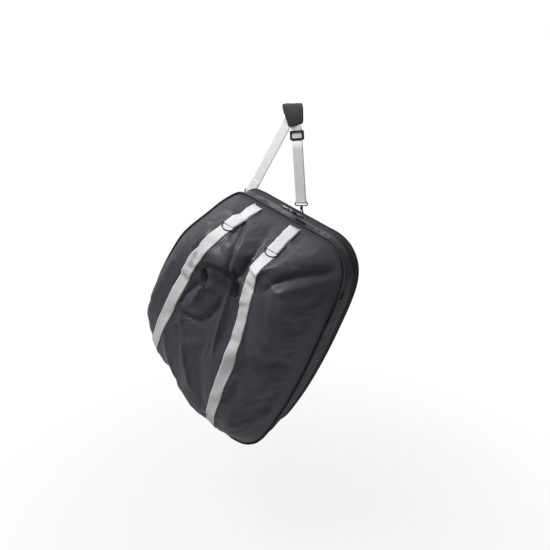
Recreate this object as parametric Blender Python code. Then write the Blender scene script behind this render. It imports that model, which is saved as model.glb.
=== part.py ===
"""Soft travel bag for a bicycle, hanging from its shoulder strap as it is carried.

The bag frame has u along the bag's length (X), v from front to back (Y) and w up the
bag (Z). An empty tilts that frame, because the strap pulls the bag up at one corner.
The world origin is the underside of the shoulder pad, where the pad rests.
Metres throughout.
"""

import math

import bmesh
import bpy
from mathutils import Matrix, Vector
from mathutils.bvhtree import BVHTree

# Driving dimensions of the bag
BAG_LENGTH = 0.655
BAG_HEIGHT = 0.854
BAG_TILT = math.radians(22.0)
ZIP_SETBACK = 0.075
LID_WALL = 0.145
LID_WALL_TOP = 0.065
BACK_WALL = 0.030
FRONT_CROWN = 0.130
BACK_CROWN = 0.040
SHELL = 0.0025
GAP = 0.0003
CUT = 0.030
WELD = GAP / 100

# Webbing, straps and handle
WEBBING_WIDTH = 0.038
WEBBING_THICKNESS = 0.0017
TAB_HEIGHT = 0.014
TAB_THICKNESS = 0.0024
HANDLE_WIDTH = 0.028
HANDLE_THICKNESS = 0.0024
GRIP_WIDTH = 0.024
GRIP_THICKNESS = 0.010
GRIP_STAND_OFF = 0.042
GRIP_SQUARENESS = 0.6
ANCHOR_LENGTH = 0.042
FOOT_LIFT = 0.0019

# Piping and zip
PIPING_RADIUS = 0.0035
PIPING_SIDES = 5
ZIP_HALF = 0.014
TAPE_DROP = 0.0005
TAPE_THICKNESS = 0.0015
TEETH_HALF = 0.0028
TEETH_RISE = 0.0010
TEETH_DROP = 0.0030
ZIP_MEET = 0.020
SLIDER_LENGTH = 0.016
SLIDER_PLATE = 0.0016
SLIDER_OVERHANG = 0.0020
BRIDGE_WIDTH = 0.0040
BRIDGE_LENGTH = 0.0100
BRIDGE_HEIGHT = 0.0052
BRIDGE_BAR = 0.0014
PULL_LENGTH = 0.030
PULL_WIDTH = 0.0090
PULL_THICKNESS = 0.0018
PULL_SLOT_LENGTH = 0.0095
PULL_SLOT_WIDTH = 0.0050
PULL_BAR = 0.0020

# Rings and hooks
RING_WIRE = 0.0020
RING_RADIUS = 0.0240
RING_CORNER = 0.0035
RING_CORNER_SHARES = (0.35, 0.7, 1.0)
ROLL_WALL = 0.0014
ROLL_MARGIN = 0.0010
LOOP_LENGTH = 0.036
HOOK_WIRE = 0.0026
HOOK_BOWL = 0.0075
HOOK_REACH = 0.0280
HOOK_OPENING = 0.0070
HOOK_NECK_SHARE = 0.6
BARREL_RADIUS = 0.0052
BARREL_LENGTH = 0.0100
POST_RADIUS = 0.0020
POST_LENGTH = 0.0065
GATE_RADIUS = 0.0016
EYE_WIRE = 0.0022
EYE_DEPTH = 0.0110
EYE_CORNER = 0.0040

# Shoulder strap, pad and adjuster
STRAP_RISE = 0.7335
PAD_WIDTH = 0.066
PAD_END_WIDTH = 0.048
PAD_THICKNESS = 0.015
PAD_SLOT = 0.0054
PAD_SLOT_MARGIN = 0.0012
PAD_SQUARENESS = 0.6
SLOT_SQUARENESS = 0.15
PAD_SIDES = 12
GLIDE_LENGTH = 0.030
GLIDE_SIDE = 0.0045
GLIDE_DEPTH = 0.0080
GLIDE_BAR = 0.0055
GLIDE_MARGIN = 0.006
GLIDE_PLAY = 0.0010
RETURN_LENGTH = 0.045

# Label tab sewn into the right side seam
LABEL_LENGTH = 0.028
LABEL_REACH = 0.012
LABEL_THICKNESS = 0.0016

HALF_LENGTH = BAG_LENGTH / 2
HALF_HEIGHT = BAG_HEIGHT / 2
ZIP_LINE = ZIP_SETBACK
BACK_SEAM = ZIP_SETBACK + BACK_WALL
CROWN_LINE = ZIP_SETBACK - LID_WALL - FRONT_CROWN
TOP_START = 0.45

# The outline runs from the right end of the fabric hinge up the right side, along the
# straight top and down the left side. Each pair is a share of half length and half height.
HINGE_LEFT_SHARES = (0.093, -1.0)
HINGE_RIGHT_SHARES = (0.58, -1.0)
TOP_RIGHT_SHARES = (0.46, 1.0)
TOP_LEFT_SHARES = (-0.35, 1.0)
RIGHT_SIDE_SHARES = (
    (0.756, -0.944), (0.863, -0.831), (0.927, -0.621), (0.976, -0.316), (1.0, 0.035),
    (1.0, 0.34), (0.988, 0.597), (0.939, 0.789), (0.811, 0.93), (0.643, 0.991))
LEFT_SIDE_SHARES = (
    (-0.502, 0.96), (-0.609, 0.867), (-0.701, 0.726), (-0.838, 0.504), (-0.936, 0.246),
    (-0.991, 0.012), (-1.0, -0.176), (-0.954, -0.34), (-0.808, -0.527), (-0.624, -0.667),
    (-0.426, -0.749), (-0.273, -0.808), (-0.136, -0.902))
RIGHT_STEPS = 22
TOP_STEPS = 9
LEFT_STEPS = 27
HINGE_STEPS = 6
HINGE_FIRST = RIGHT_STEPS + TOP_STEPS + LEFT_STEPS

# Each row is the share of the way out to the seam and the share of the crown there.
FRONT_CENTRE_SHARES = (-0.06, 0.19)
FRONT_RING_SHARES = ((1.0, 0.0), (0.95, 0.22), (0.86, 0.55), (0.75, 0.88), (0.55, 1.0), (0.2, 1.0))
BACK_CENTRE_SHARES = (0.0, 0.0)
BACK_RING_SHARES = ((1.0, 0.0), (0.93, 0.36), (0.86, 0.7), (0.78, 0.95), (0.66, 1.0))

# Centre lines of the webbing on the panels, as shares of half length and half height.
FRONT_RIGHT_SHARES = (
    (0.26, 1.02), (0.295, 0.86), (0.285, 0.68), (0.345, 0.2), (0.363, -0.5), (0.36, -1.02))
FRONT_LEFT_SHARES = (
    (-0.17, 1.02), (-0.266, 0.76), (-0.373, 0.52), (-0.42, 0.36), (-0.482, 0.04), (-0.55, -0.29),
    (-0.63, -0.72))
BACK_RIGHT_SHARES = ((0.15, 0.96), (0.16, -0.2), (0.18, -1.02))
BACK_LEFT_SHARES = ((-0.60, 0.80), (-0.52, 0.1), (-0.43, -0.8))

# Places across the webbing where a ring's bar is checked against the strap below it.
SEAT_SHARES = (-1.0, -0.5, 0.0, 0.5, 1.0)
SEAT_STEP = WEBBING_WIDTH / 4

# Heights of the ring bars and of the two ends of the handle, as shares of half height.
FRONT_RING_SHARE = 0.865
BACK_RIGHT_RING_SHARE = 0.925
BACK_LEFT_RING_SHARE = 0.765
RIM_MARGIN_SHARE = 0.4
HANDLE_RIGHT_SHARES = (0.135, 0.555)
HANDLE_LEFT_SHARES = (-0.22, 0.485)

# The grip's path: shares of the way across, of the stand-off upwards and of it outwards.
GRIP_SHARES = (
    (0.0, 0.0, 0.0), (0.0, 0.35, 0.22), (0.06, 0.75, 0.5), (0.22, 1.08, 0.78), (0.5, 1.2, 0.86),
    (0.78, 1.08, 0.78), (0.94, 0.75, 0.5), (1.0, 0.35, 0.22), (1.0, 0.0, 0.0))
GRIP_TAPER_SHARE = 0.25
PAD_TAPER_SHARE = 0.25
PAD_END_THICKNESS_SHARE = 0.6
LABEL_SHARE = 0.70

# Shoulder strap route from the bag's centre along world X, Y and Z, as shares of its rise.
SHOULDER_BACK_SHARES = (0.118, 0.3027, 0.9352)
SHOULDER_TOP_BACK_SHARES = (0.143, 0.2785, 0.9809)
SHOULDER_TOP_SHARES = (0.180, 0.2181, 1.0)
SHOULDER_TOP_FRONT_SHARES = (0.210, 0.1776, 0.9730)
SHOULDER_FRONT_SHARES = (0.2304, 0.1609, 0.9105)
GLIDE_SHARES = (0.2346, 0.1636, 0.8705)
PAD_START_SHARE = 0.08
PAD_END_SHARE = 0.96

COLOURS = {
    "polyester": ((0.034, 0.033, 0.040), 0.55, 0.0),
    "light_webbing": ((0.70, 0.69, 0.68), 0.60, 0.0),
    "black_webbing": ((0.012, 0.012, 0.014), 0.65, 0.0),
    "black_metal": ((0.020, 0.020, 0.022), 0.35, 0.6),
    "zip_plastic": ((0.010, 0.010, 0.011), 0.45, 0.0),
    "pad_cloth": ((0.014, 0.014, 0.017), 0.75, 0.0),
}


def clear_scene():
    """Remove every object so that the script can be run again."""
    for old in list(bpy.data.objects):
        bpy.data.objects.remove(old, do_unlink=True)


def material(name):
    """Plain material of one of the bag's finishes."""
    made = bpy.data.materials.get(name) or bpy.data.materials.new(name)
    made.use_nodes = True
    shader = made.node_tree.nodes["Principled BSDF"]
    colour, roughness, metallic = COLOURS[name]
    shader.inputs["Base Color"].default_value = (*colour, 1.0)
    shader.inputs["Roughness"].default_value = roughness
    shader.inputs["Metallic"].default_value = metallic
    return made


def add_object(name, bm, finish, parent, pivot=None, smooth=True):
    """Put a mesh, modelled in the bag frame, on a pivot of its own under the bag's empty."""
    pivot = pivot or Matrix.Identity(4)
    bm.normal_update()
    bmesh.ops.recalc_face_normals(bm, faces=bm.faces)
    bm.transform(pivot.inverted())
    mesh = bpy.data.meshes.new(name)
    bm.to_mesh(mesh)
    bm.free()
    if smooth:
        mesh.shade_smooth()
        mesh.set_sharp_from_angle(angle=math.radians(40.0))
    made = bpy.data.objects.new(name, mesh)
    bpy.context.collection.objects.link(made)
    made.data.materials.append(material(finish))
    made.parent = parent
    made.matrix_local = pivot
    return made


def add_cutter(name, bm, parent, pivot=None):
    """Mesh that only shapes another one."""
    made = add_object(name, bm, "zip_plastic", parent, pivot, smooth=False)
    made.hide_render = True
    made.display_type = "WIRE"
    return made


def combine(target, operation, other):
    """Boolean of a target with a cutter."""
    step = target.modifiers.new(other.name, "BOOLEAN")
    step.operation = operation
    step.solver = "EXACT"
    step.object = other


def make_frame(origin, x_axis, z_hint):
    """Frame with a given X axis and a Z axis as near as can be to the hint."""
    x_axis = x_axis.normalized()
    y_axis = z_hint.cross(x_axis).normalized()
    z_axis = x_axis.cross(y_axis)
    turn = Matrix((x_axis, y_axis, z_axis)).transposed().to_4x4()
    return Matrix.Translation(origin) @ turn


def sweep(sections, closed=False):
    """Closed solid through matching rings of points, each ring extruded into the next."""
    bm = bmesh.new()
    ring = [bm.verts.new(point) for point in sections[0]]
    start = bm.faces.new(ring)
    edges = list(start.edges)
    if closed:
        bmesh.ops.delete(bm, geom=[start], context="FACES_ONLY")
    rest = list(sections[1:])
    if closed:
        rest.append(sections[0])
    for points in rest:
        grown = bmesh.ops.extrude_edge_only(bm, edges=edges)["geom"]
        fresh = {item for item in grown if isinstance(item, bmesh.types.BMVert)}
        ring = [next(edge.other_vert(vert) for edge in vert.link_edges if edge.other_vert(vert) in fresh)
                for vert in ring]
        for vert, point in zip(ring, points):
            vert.co = point
        edges = [item for item in grown if isinstance(item, bmesh.types.BMEdge)
                 and item.verts[0] in fresh and item.verts[1] in fresh]
    if closed:
        bmesh.ops.remove_doubles(bm, verts=bm.verts, dist=WELD)
    else:
        bm.faces.new(ring)
    return bm


def block(size, centre, frame=None):
    """Box of a given size, in a frame."""
    bm = bmesh.new()
    bmesh.ops.create_cube(bm, size=1.0)
    bmesh.ops.scale(bm, vec=size, verts=bm.verts)
    bmesh.ops.translate(bm, vec=centre, verts=bm.verts)
    if frame:
        bm.transform(frame)
    return bm


def rod(radius, start, end, sides):
    """Round rod between two points."""
    axis = end - start
    frame = make_frame((start + end) / 2, axis.orthogonal(), axis)
    bm = bmesh.new()
    bmesh.ops.create_cone(bm, cap_ends=True, segments=sides, radius1=radius, radius2=radius,
                          depth=axis.length)
    bm.transform(frame)
    return bm


def tangents(points, closed):
    """Direction of travel at each point of a path."""
    count = len(points)
    found = []
    for index in range(count):
        if closed:
            step = points[(index + 1) % count] - points[index - 1]
        else:
            step = points[min(index + 1, count - 1)] - points[max(index - 1, 0)]
        found.append(step.normalized())
    return found


def wire(points, radius, plane_normal, sides=8, closed=False):
    """Round wire along a flat path."""
    sections = []
    for point, along in zip(points, tangents(points, closed)):
        side = along.cross(plane_normal).normalized()
        sections.append([
            point + radius * (math.cos(turn) * side + math.sin(turn) * plane_normal)
            for turn in (2 * math.pi * step / sides for step in range(sides))])
    return sweep(sections, closed)


def ribbon(points, acrosses, width, thickness):
    """Flat webbing along a path, whose width lies as near as can be to a direction at each point."""
    sections = []
    for point, across, along in zip(points, acrosses, tangents(points, False)):
        side = (across - along * across.dot(along)).normalized()
        face = along.cross(side)
        sections.append([point + side * (width / 2 * su) + face * (thickness / 2 * sf)
                         for su, sf in ((1, 1), (-1, 1), (-1, -1), (1, -1))])
    return sweep(sections)


def spline(points, before, after, fine=10):
    """Smooth curve through points, with a point before and after it to set its ends."""
    chain = [before, *points, after]
    curve = []
    for index in range(1, len(chain) - 2):
        p0, p1, p2, p3 = chain[index - 1:index + 3]
        for step in range(fine):
            t = step / fine
            curve.append(0.5 * (2 * p1 + (p2 - p0) * t + (2 * p0 - 5 * p1 + 4 * p2 - p3) * t ** 2
                                + (3 * p1 - p0 - 3 * p2 + p3) * t ** 3))
    curve.append(points[-1])
    return curve


def resample(curve, steps):
    """Points at equal distances along a curve, its last point left out."""
    lengths = [0.0]
    for first, second in zip(curve, curve[1:]):
        lengths.append(lengths[-1] + (second - first).length)
    found = []
    index = 0
    for step in range(steps):
        target = lengths[-1] * step / steps
        while lengths[index + 1] < target:
            index += 1
        share = (target - lengths[index]) / (lengths[index + 1] - lengths[index])
        found.append(curve[index].lerp(curve[index + 1], share))
    return found


def in_plan(shares):
    """Point of the middle plane from its shares of half length and half height."""
    return Vector((shares[0] * HALF_LENGTH, 0, shares[1] * HALF_HEIGHT))


def make_outline():
    """Outline of the bag, and at each point the direction out of the bag."""
    hinge_left = in_plan(HINGE_LEFT_SHARES)
    hinge_right = in_plan(HINGE_RIGHT_SHARES)
    top_right = in_plan(TOP_RIGHT_SHARES)
    top_left = in_plan(TOP_LEFT_SHARES)
    right = [hinge_right, *(in_plan(pair) for pair in RIGHT_SIDE_SHARES), top_right]
    left = [top_left, *(in_plan(pair) for pair in LEFT_SIDE_SHARES), hinge_left]
    points = resample(spline(right, hinge_left, top_left), RIGHT_STEPS)
    points += resample([top_right, top_left], TOP_STEPS)
    points += resample(spline(left, top_right, hinge_right), LEFT_STEPS)
    points += resample([hinge_left, hinge_right], HINGE_STEPS)
    outward = []
    for along in tangents(points, True):
        outward.append(Vector((along.z, 0, -along.x)))
    return points, outward


OUTLINE, OUTWARD = make_outline()
COUNT = len(OUTLINE)


def on_outline(index, offset, depth):
    """Point of the side wall, offset out of the bag, at a depth."""
    index %= COUNT
    point = OUTLINE[index] + OUTWARD[index] * offset
    return Vector((point.x, depth, point.z))


def front_seam(index):
    """Depth of the front seam, which the lid's top draws back."""
    share = (OUTLINE[index % COUNT].z / HALF_HEIGHT - TOP_START) / (1 - TOP_START)
    share = min(max(share, 0.0), 1.0)
    share = share * share * (3 - 2 * share)
    return ZIP_LINE - LID_WALL + (LID_WALL - LID_WALL_TOP) * share


def back_seam(index):
    """Depth of the back seam."""
    return BACK_SEAM


def panel_grid(centre_shares, ring_shares, seam, crown_line):
    """Rings of points of a panel's outer skin, from the seam inwards."""
    centre = in_plan(centre_shares)
    rings = []
    for out, rise in ring_shares:
        ring = []
        for index, edge in enumerate(OUTLINE):
            plan = centre.lerp(edge, out)
            depth = seam(index) + (crown_line - seam(index)) * rise
            ring.append(Vector((plan.x, depth, plan.z)))
        rings.append(ring)
    return rings


def offset_grid(rings, offset, facing):
    """The same skin moved along its own normals, out of the bag for a positive offset."""
    moved = []
    for row, ring in enumerate(rings):
        outer = rings[max(row - 1, 0)]
        inner = rings[min(row + 1, len(rings) - 1)]
        line = []
        for index, point in enumerate(ring):
            along = ring[(index + 1) % COUNT] - ring[index - 1]
            across = inner[index] - outer[index]
            normal = along.cross(across).normalized()
            if normal.y * facing < 0:
                normal = -normal
            line.append(point + normal * offset)
        moved.append(line)
    return moved


FRONT_GRID = panel_grid(FRONT_CENTRE_SHARES, FRONT_RING_SHARES, front_seam, CROWN_LINE)
BACK_GRID = panel_grid(BACK_CENTRE_SHARES, BACK_RING_SHARES, back_seam, BACK_SEAM + BACK_CROWN)


def sheet_solid(under, over):
    """Closed solid between two skins, whose triangles run the same way on every skin."""
    bm = bmesh.new()
    sheets = [[[bm.verts.new(point) for point in ring] for ring in rings] for rings in (under, over)]
    for sheet in sheets:
        for outer, inner in zip(sheet, sheet[1:]):
            for index in range(COUNT):
                after = (index + 1) % COUNT
                bm.faces.new((outer[index], outer[after], inner[after]))
                bm.faces.new((outer[index], inner[after], inner[index]))
        bm.faces.new(sheet[-1])
    low_rim, high_rim = sheets[0][0], sheets[1][0]
    for index in range(COUNT):
        after = (index + 1) % COUNT
        bm.faces.new((low_rim[index], low_rim[after], high_rim[after], high_rim[index]))
    return bm


def layer(grid, low, high, facing):
    """Closed layer between two offsets of a skin, ending a little inside its seam."""
    rim = [edge.lerp(next_in, RIM_MARGIN_SHARE) for edge, next_in in zip(grid[0], grid[1])]
    skin = [rim, *grid[1:]]
    return sheet_solid(offset_grid(skin, low, facing), offset_grid(skin, high, facing))


def make_panel(name, grid, facing, parent):
    """Crowned panel whose rim is cut square to meet the side wall."""
    inside = offset_grid(grid, -SHELL, facing)
    inside[0] = [on_outline(index, -SHELL, point.y) for index, point in enumerate(grid[0])]
    return add_object(name, sheet_solid(inside, grid), "polyester", parent)


def skin_hit(grid, offset, facing, x, z):
    """Point of an offset skin straight in front of, or behind, a point of the plan."""
    bm = layer(grid, 0, offset, facing)
    tree = BVHTree.FromBMesh(bm)
    bm.free()
    start = Vector((x, facing * BAG_HEIGHT, z))
    return tree.ray_cast(start, Vector((0, -facing, 0)))[0]


def band(low_depth, high_depth, outer, inner, indices, closed):
    """Strip of the side wall between two depths, given as functions of the index."""
    sections = []
    for index in indices:
        low, high = low_depth(index), high_depth(index)
        sections.append([on_outline(index, outer, low), on_outline(index, outer, high),
                         on_outline(index, inner, high), on_outline(index, inner, low)])
    return sweep(sections, closed)


def make_walls(parent):
    """Side walls of the lid and of the back shell, and the piping on their seams."""
    whole = range(COUNT)
    lid = band(lambda i: front_seam(i) + GAP, lambda i: ZIP_LINE - ZIP_HALF, 0, -SHELL, whole, True)
    add_object("front_gusset", lid, "polyester", parent)
    back = band(lambda i: ZIP_LINE + ZIP_HALF, lambda i: BACK_SEAM - GAP, 0, -SHELL, whole, True)
    add_object("back_gusset", back, "polyester", parent)
    for name, seam in (("front_piping", front_seam), ("back_piping", back_seam)):
        sections = []
        for index in whole:
            centre = on_outline(index, PIPING_RADIUS + GAP, seam(index))
            out = OUTWARD[index]
            sections.append([
                centre + PIPING_RADIUS * (math.cos(turn) * out + math.sin(turn) * Vector((0, 1, 0)))
                for turn in (2 * math.pi * step / PIPING_SIDES for step in range(PIPING_SIDES))])
        add_object(name, sweep(sections, True), "black_webbing", parent)


def make_zip(parent):
    """Two tapes with their rows of teeth round three sides, and the fabric hinge on the fourth."""
    run = range(HINGE_FIRST + 1)
    tape_out = -TAPE_DROP
    tape_in = -TAPE_DROP - TAPE_THICKNESS
    edge = ZIP_HALF - GAP
    for side, sign in (("front", -1), ("back", 1)):
        tape = band(lambda i: ZIP_LINE + sign * edge, lambda i: ZIP_LINE + sign * (TEETH_HALF + GAP),
                    tape_out, tape_in, run, False)
        add_object(side + "_zip_tape", tape, "zip_plastic", parent)
        teeth = band(lambda i: ZIP_LINE + sign * TEETH_HALF, lambda i: ZIP_LINE + sign * GAP / 2,
                     TEETH_RISE, -TEETH_DROP, run, False)
        add_object(side + "_zip_teeth", teeth, "zip_plastic", parent)
    stretch = range(HINGE_FIRST, COUNT + 1)
    strip = band(lambda i: ZIP_LINE - edge, lambda i: ZIP_LINE + edge, 0, -SHELL, stretch, False)
    shrink = 1 - 2 * GAP / (OUTLINE[0] - OUTLINE[HINGE_FIRST]).length
    middle = (OUTLINE[0] + OUTLINE[HINGE_FIRST]) / 2
    for vert in strip.verts:
        vert.co.x = middle.x + (vert.co.x - middle.x) * shrink
    add_object("hinge_strip", strip, "polyester", parent)


def plan_curve(pairs, first=0.0, last=1.0):
    """Stretch of the smooth curve through points of the plan, between two shares of it."""
    pins = [in_plan(pair) for pair in pairs]
    curve = spline(pins, 2 * pins[0] - pins[1], 2 * pins[-1] - pins[-2], 6)
    steps = len(curve) - 1
    return curve[round(first * steps):round(last * steps) + 1]


def at_height(pairs, height):
    """Point of a strap's plan curve at a height."""
    curve = plan_curve(pairs)
    for first, second in zip(curve, curve[1:]):
        if (first.z - height) * (second.z - height) <= 0:
            return first.lerp(second, (height - first.z) / (second.z - first.z))
    return curve[0]


def plan_prism(curve, width, facing):
    """Prism through one panel along a plan curve."""
    sections = []
    near = Vector((0, ZIP_LINE, 0))
    far = Vector((0, facing * BAG_HEIGHT / 2, 0))
    for point, along in zip(curve, tangents(curve, False)):
        side = Vector((along.z, 0, -along.x)) * (width / 2)
        sections.append([point + side + near, point + side + far, point - side + far, point - side + near])
    return sweep(sections)


def make_skins(parent):
    """Cutters: the layers of cloth thickness that lie on the two panels."""
    low = GAP
    high = GAP + WEBBING_THICKNESS
    doubled = high + GAP + 2 * WEBBING_THICKNESS
    skins = {}
    for side, grid, facing in (("front", FRONT_GRID, -1), ("back", BACK_GRID, 1)):
        for kind, under, over in (("first", low, high), ("second", high + GAP, doubled)):
            name = side + "_" + kind + "_layer"
            skins[side, kind] = add_cutter(name, layer(grid, under, over, facing), parent)
    return skins


def sewn_piece(name, curve, width, skin, facing, finish, parent):
    """Sewn-on piece: the part of a skin layer that lies under a plan curve."""
    piece = add_object(name, plan_prism(curve, width, facing), finish, parent, smooth=False)
    combine(piece, "INTERSECT", skin)
    return piece


def ring_wire_path(sides_of_arc=12):
    """Closed path of a D ring: a straight bar along X, and an arc towards Z."""
    centre_x = math.sqrt((RING_RADIUS - RING_CORNER) ** 2 - RING_CORNER ** 2)
    lean = math.atan2(RING_CORNER, centre_x)
    path = []
    for step in range(sides_of_arc + 1):
        turn = lean + (math.pi - 2 * lean) * step / sides_of_arc
        path.append(Vector((RING_RADIUS * math.cos(turn), 0, RING_RADIUS * math.sin(turn))))
    corner = []
    for share in RING_CORNER_SHARES:
        turn = lean + (-math.pi / 2 - lean) * share
        corner.append(Vector((centre_x + RING_CORNER * math.cos(turn), 0,
                              RING_CORNER + RING_CORNER * math.sin(turn))))
    path += [Vector((-point.x, 0, point.z)) for point in corner]
    path.append(Vector((0, 0, 0)))
    path += list(reversed(corner))
    return path


ROLL_RADIUS = RING_WIRE + GAP + ROLL_WALL
BAR_LIFT = GAP + WEBBING_THICKNESS + ROLL_MARGIN + ROLL_RADIUS


def ring_seat(grid, facing, pairs, height):
    """Middle and direction of a ring's bar, over a strap at a height, or lower where the panel ends."""
    hits = [None]
    while None in hits:
        middle = at_height(pairs, height)
        spots = [middle.x + share * WEBBING_WIDTH / 2 for share in SEAT_SHARES]
        hits = [skin_hit(grid, BAR_LIFT, facing, spot, height) for spot in spots]
        centre = hits[len(hits) // 2]
        if None in hits:
            height -= SEAT_STEP
    along = (hits[-1] - hits[0]).normalized()
    proud = max((hit - centre - along * along.dot(hit - centre)).y * facing for hit in hits)
    return centre + Vector((0, facing * max(proud, 0), 0)), along


def make_ring(name, seat, direction, parent):
    """D ring whose bar lies on its hinge axis and whose arc points along a direction."""
    frame = make_frame(seat[0], seat[1], direction)
    bm = wire(ring_wire_path(), RING_WIRE, Vector((0, 1, 0)), 8, True)
    bm.transform(frame)
    add_object(name, bm, "black_metal", parent, frame)
    return frame


def make_ring_loop(name, seat, pairs, skin, facing, finish, parent):
    """Doubled webbing rolled round a ring's bar: up to the seam in front, down the strap behind."""
    bar_height = seat[0].z
    if facing < 0:
        low, high = bar_height, HALF_HEIGHT
    else:
        low, high = bar_height - LOOP_LENGTH, bar_height
    between = [point for point in plan_curve(pairs) if low < point.z < high]
    stretch = [at_height(pairs, high), *between, at_height(pairs, low)]
    piece = sewn_piece(name, stretch, WEBBING_WIDTH, skin, facing, finish, parent)
    half = seat[1] * (WEBBING_WIDTH / 2)
    over = seat[1] * (WEBBING_WIDTH / 2 + CUT)
    roll = add_cutter(name + "_roll", rod(ROLL_RADIUS, seat[0] - half, seat[0] + half, 12), parent)
    bore = add_cutter(name + "_bore", rod(RING_WIRE + GAP, seat[0] - over, seat[0] + over, 12), parent)
    combine(piece, "UNION", roll)
    combine(piece, "DIFFERENCE", bore)
    return piece


def resting_direction(grid, facing, seat):
    """Direction in which a free ring lies down on the strap below its bar."""
    lift = GAP + WEBBING_THICKNESS + GAP + RING_WIRE
    slopes = []
    for share in SEAT_SHARES:
        across = share * RING_RADIUS * math.cos(math.pi / 4)
        start = seat[0] + seat[1] * across
        drop = math.sqrt(RING_RADIUS ** 2 - across ** 2)
        rest = skin_hit(grid, lift, facing, start.x, start.z - drop)
        slopes.append((rest - start).y * facing / drop)
    return Vector((0, facing * max(slopes), -1))


def to_bag(shares):
    """Point of the shoulder strap's route, turned from world directions into the bag frame."""
    return BAG_TURN.inverted() @ (Vector(shares) * STRAP_RISE)


def make_straps(skins, parent):
    """White webbing on both panels."""
    runs = (("front_strap_right", "front", -1, FRONT_RIGHT_SHARES),
            ("front_strap_left", "front", -1, FRONT_LEFT_SHARES),
            ("back_strap_right", "back", 1, BACK_RIGHT_SHARES),
            ("back_strap_left", "back", 1, BACK_LEFT_SHARES))
    for name, side, facing, pairs in runs:
        sewn_piece(name, plan_curve(pairs), WEBBING_WIDTH, skins[side, "first"], facing,
                   "light_webbing", parent)


def make_rings(skins, parent):
    """The four D rings and their loops; the shoulder strap pulls two of them up."""
    seats = {}
    rows = (("front_left", -1, FRONT_GRID, FRONT_LEFT_SHARES, FRONT_RING_SHARE),
            ("front_right", -1, FRONT_GRID, FRONT_RIGHT_SHARES, FRONT_RING_SHARE),
            ("back_left", 1, BACK_GRID, BACK_LEFT_SHARES, BACK_LEFT_RING_SHARE),
            ("back_right", 1, BACK_GRID, BACK_RIGHT_SHARES, BACK_RIGHT_RING_SHARE))
    pulls = {"back_left": to_bag(SHOULDER_BACK_SHARES), "back_right": to_bag(GLIDE_SHARES)}
    for name, facing, grid, pairs, share in rows:
        side = name.split("_")[0]
        seat = ring_seat(grid, facing, pairs, share * HALF_HEIGHT)
        make_ring_loop(name + "_ring_loop", seat, pairs, skins[side, "second"], facing,
                       "light_webbing", parent)
        if name in pulls:
            direction = pulls[name] - seat[0]
        else:
            direction = resting_direction(grid, facing, seat)
        seats[name] = (seat, make_ring(name + "_ring", seat, direction, parent))
    return seats


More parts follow.
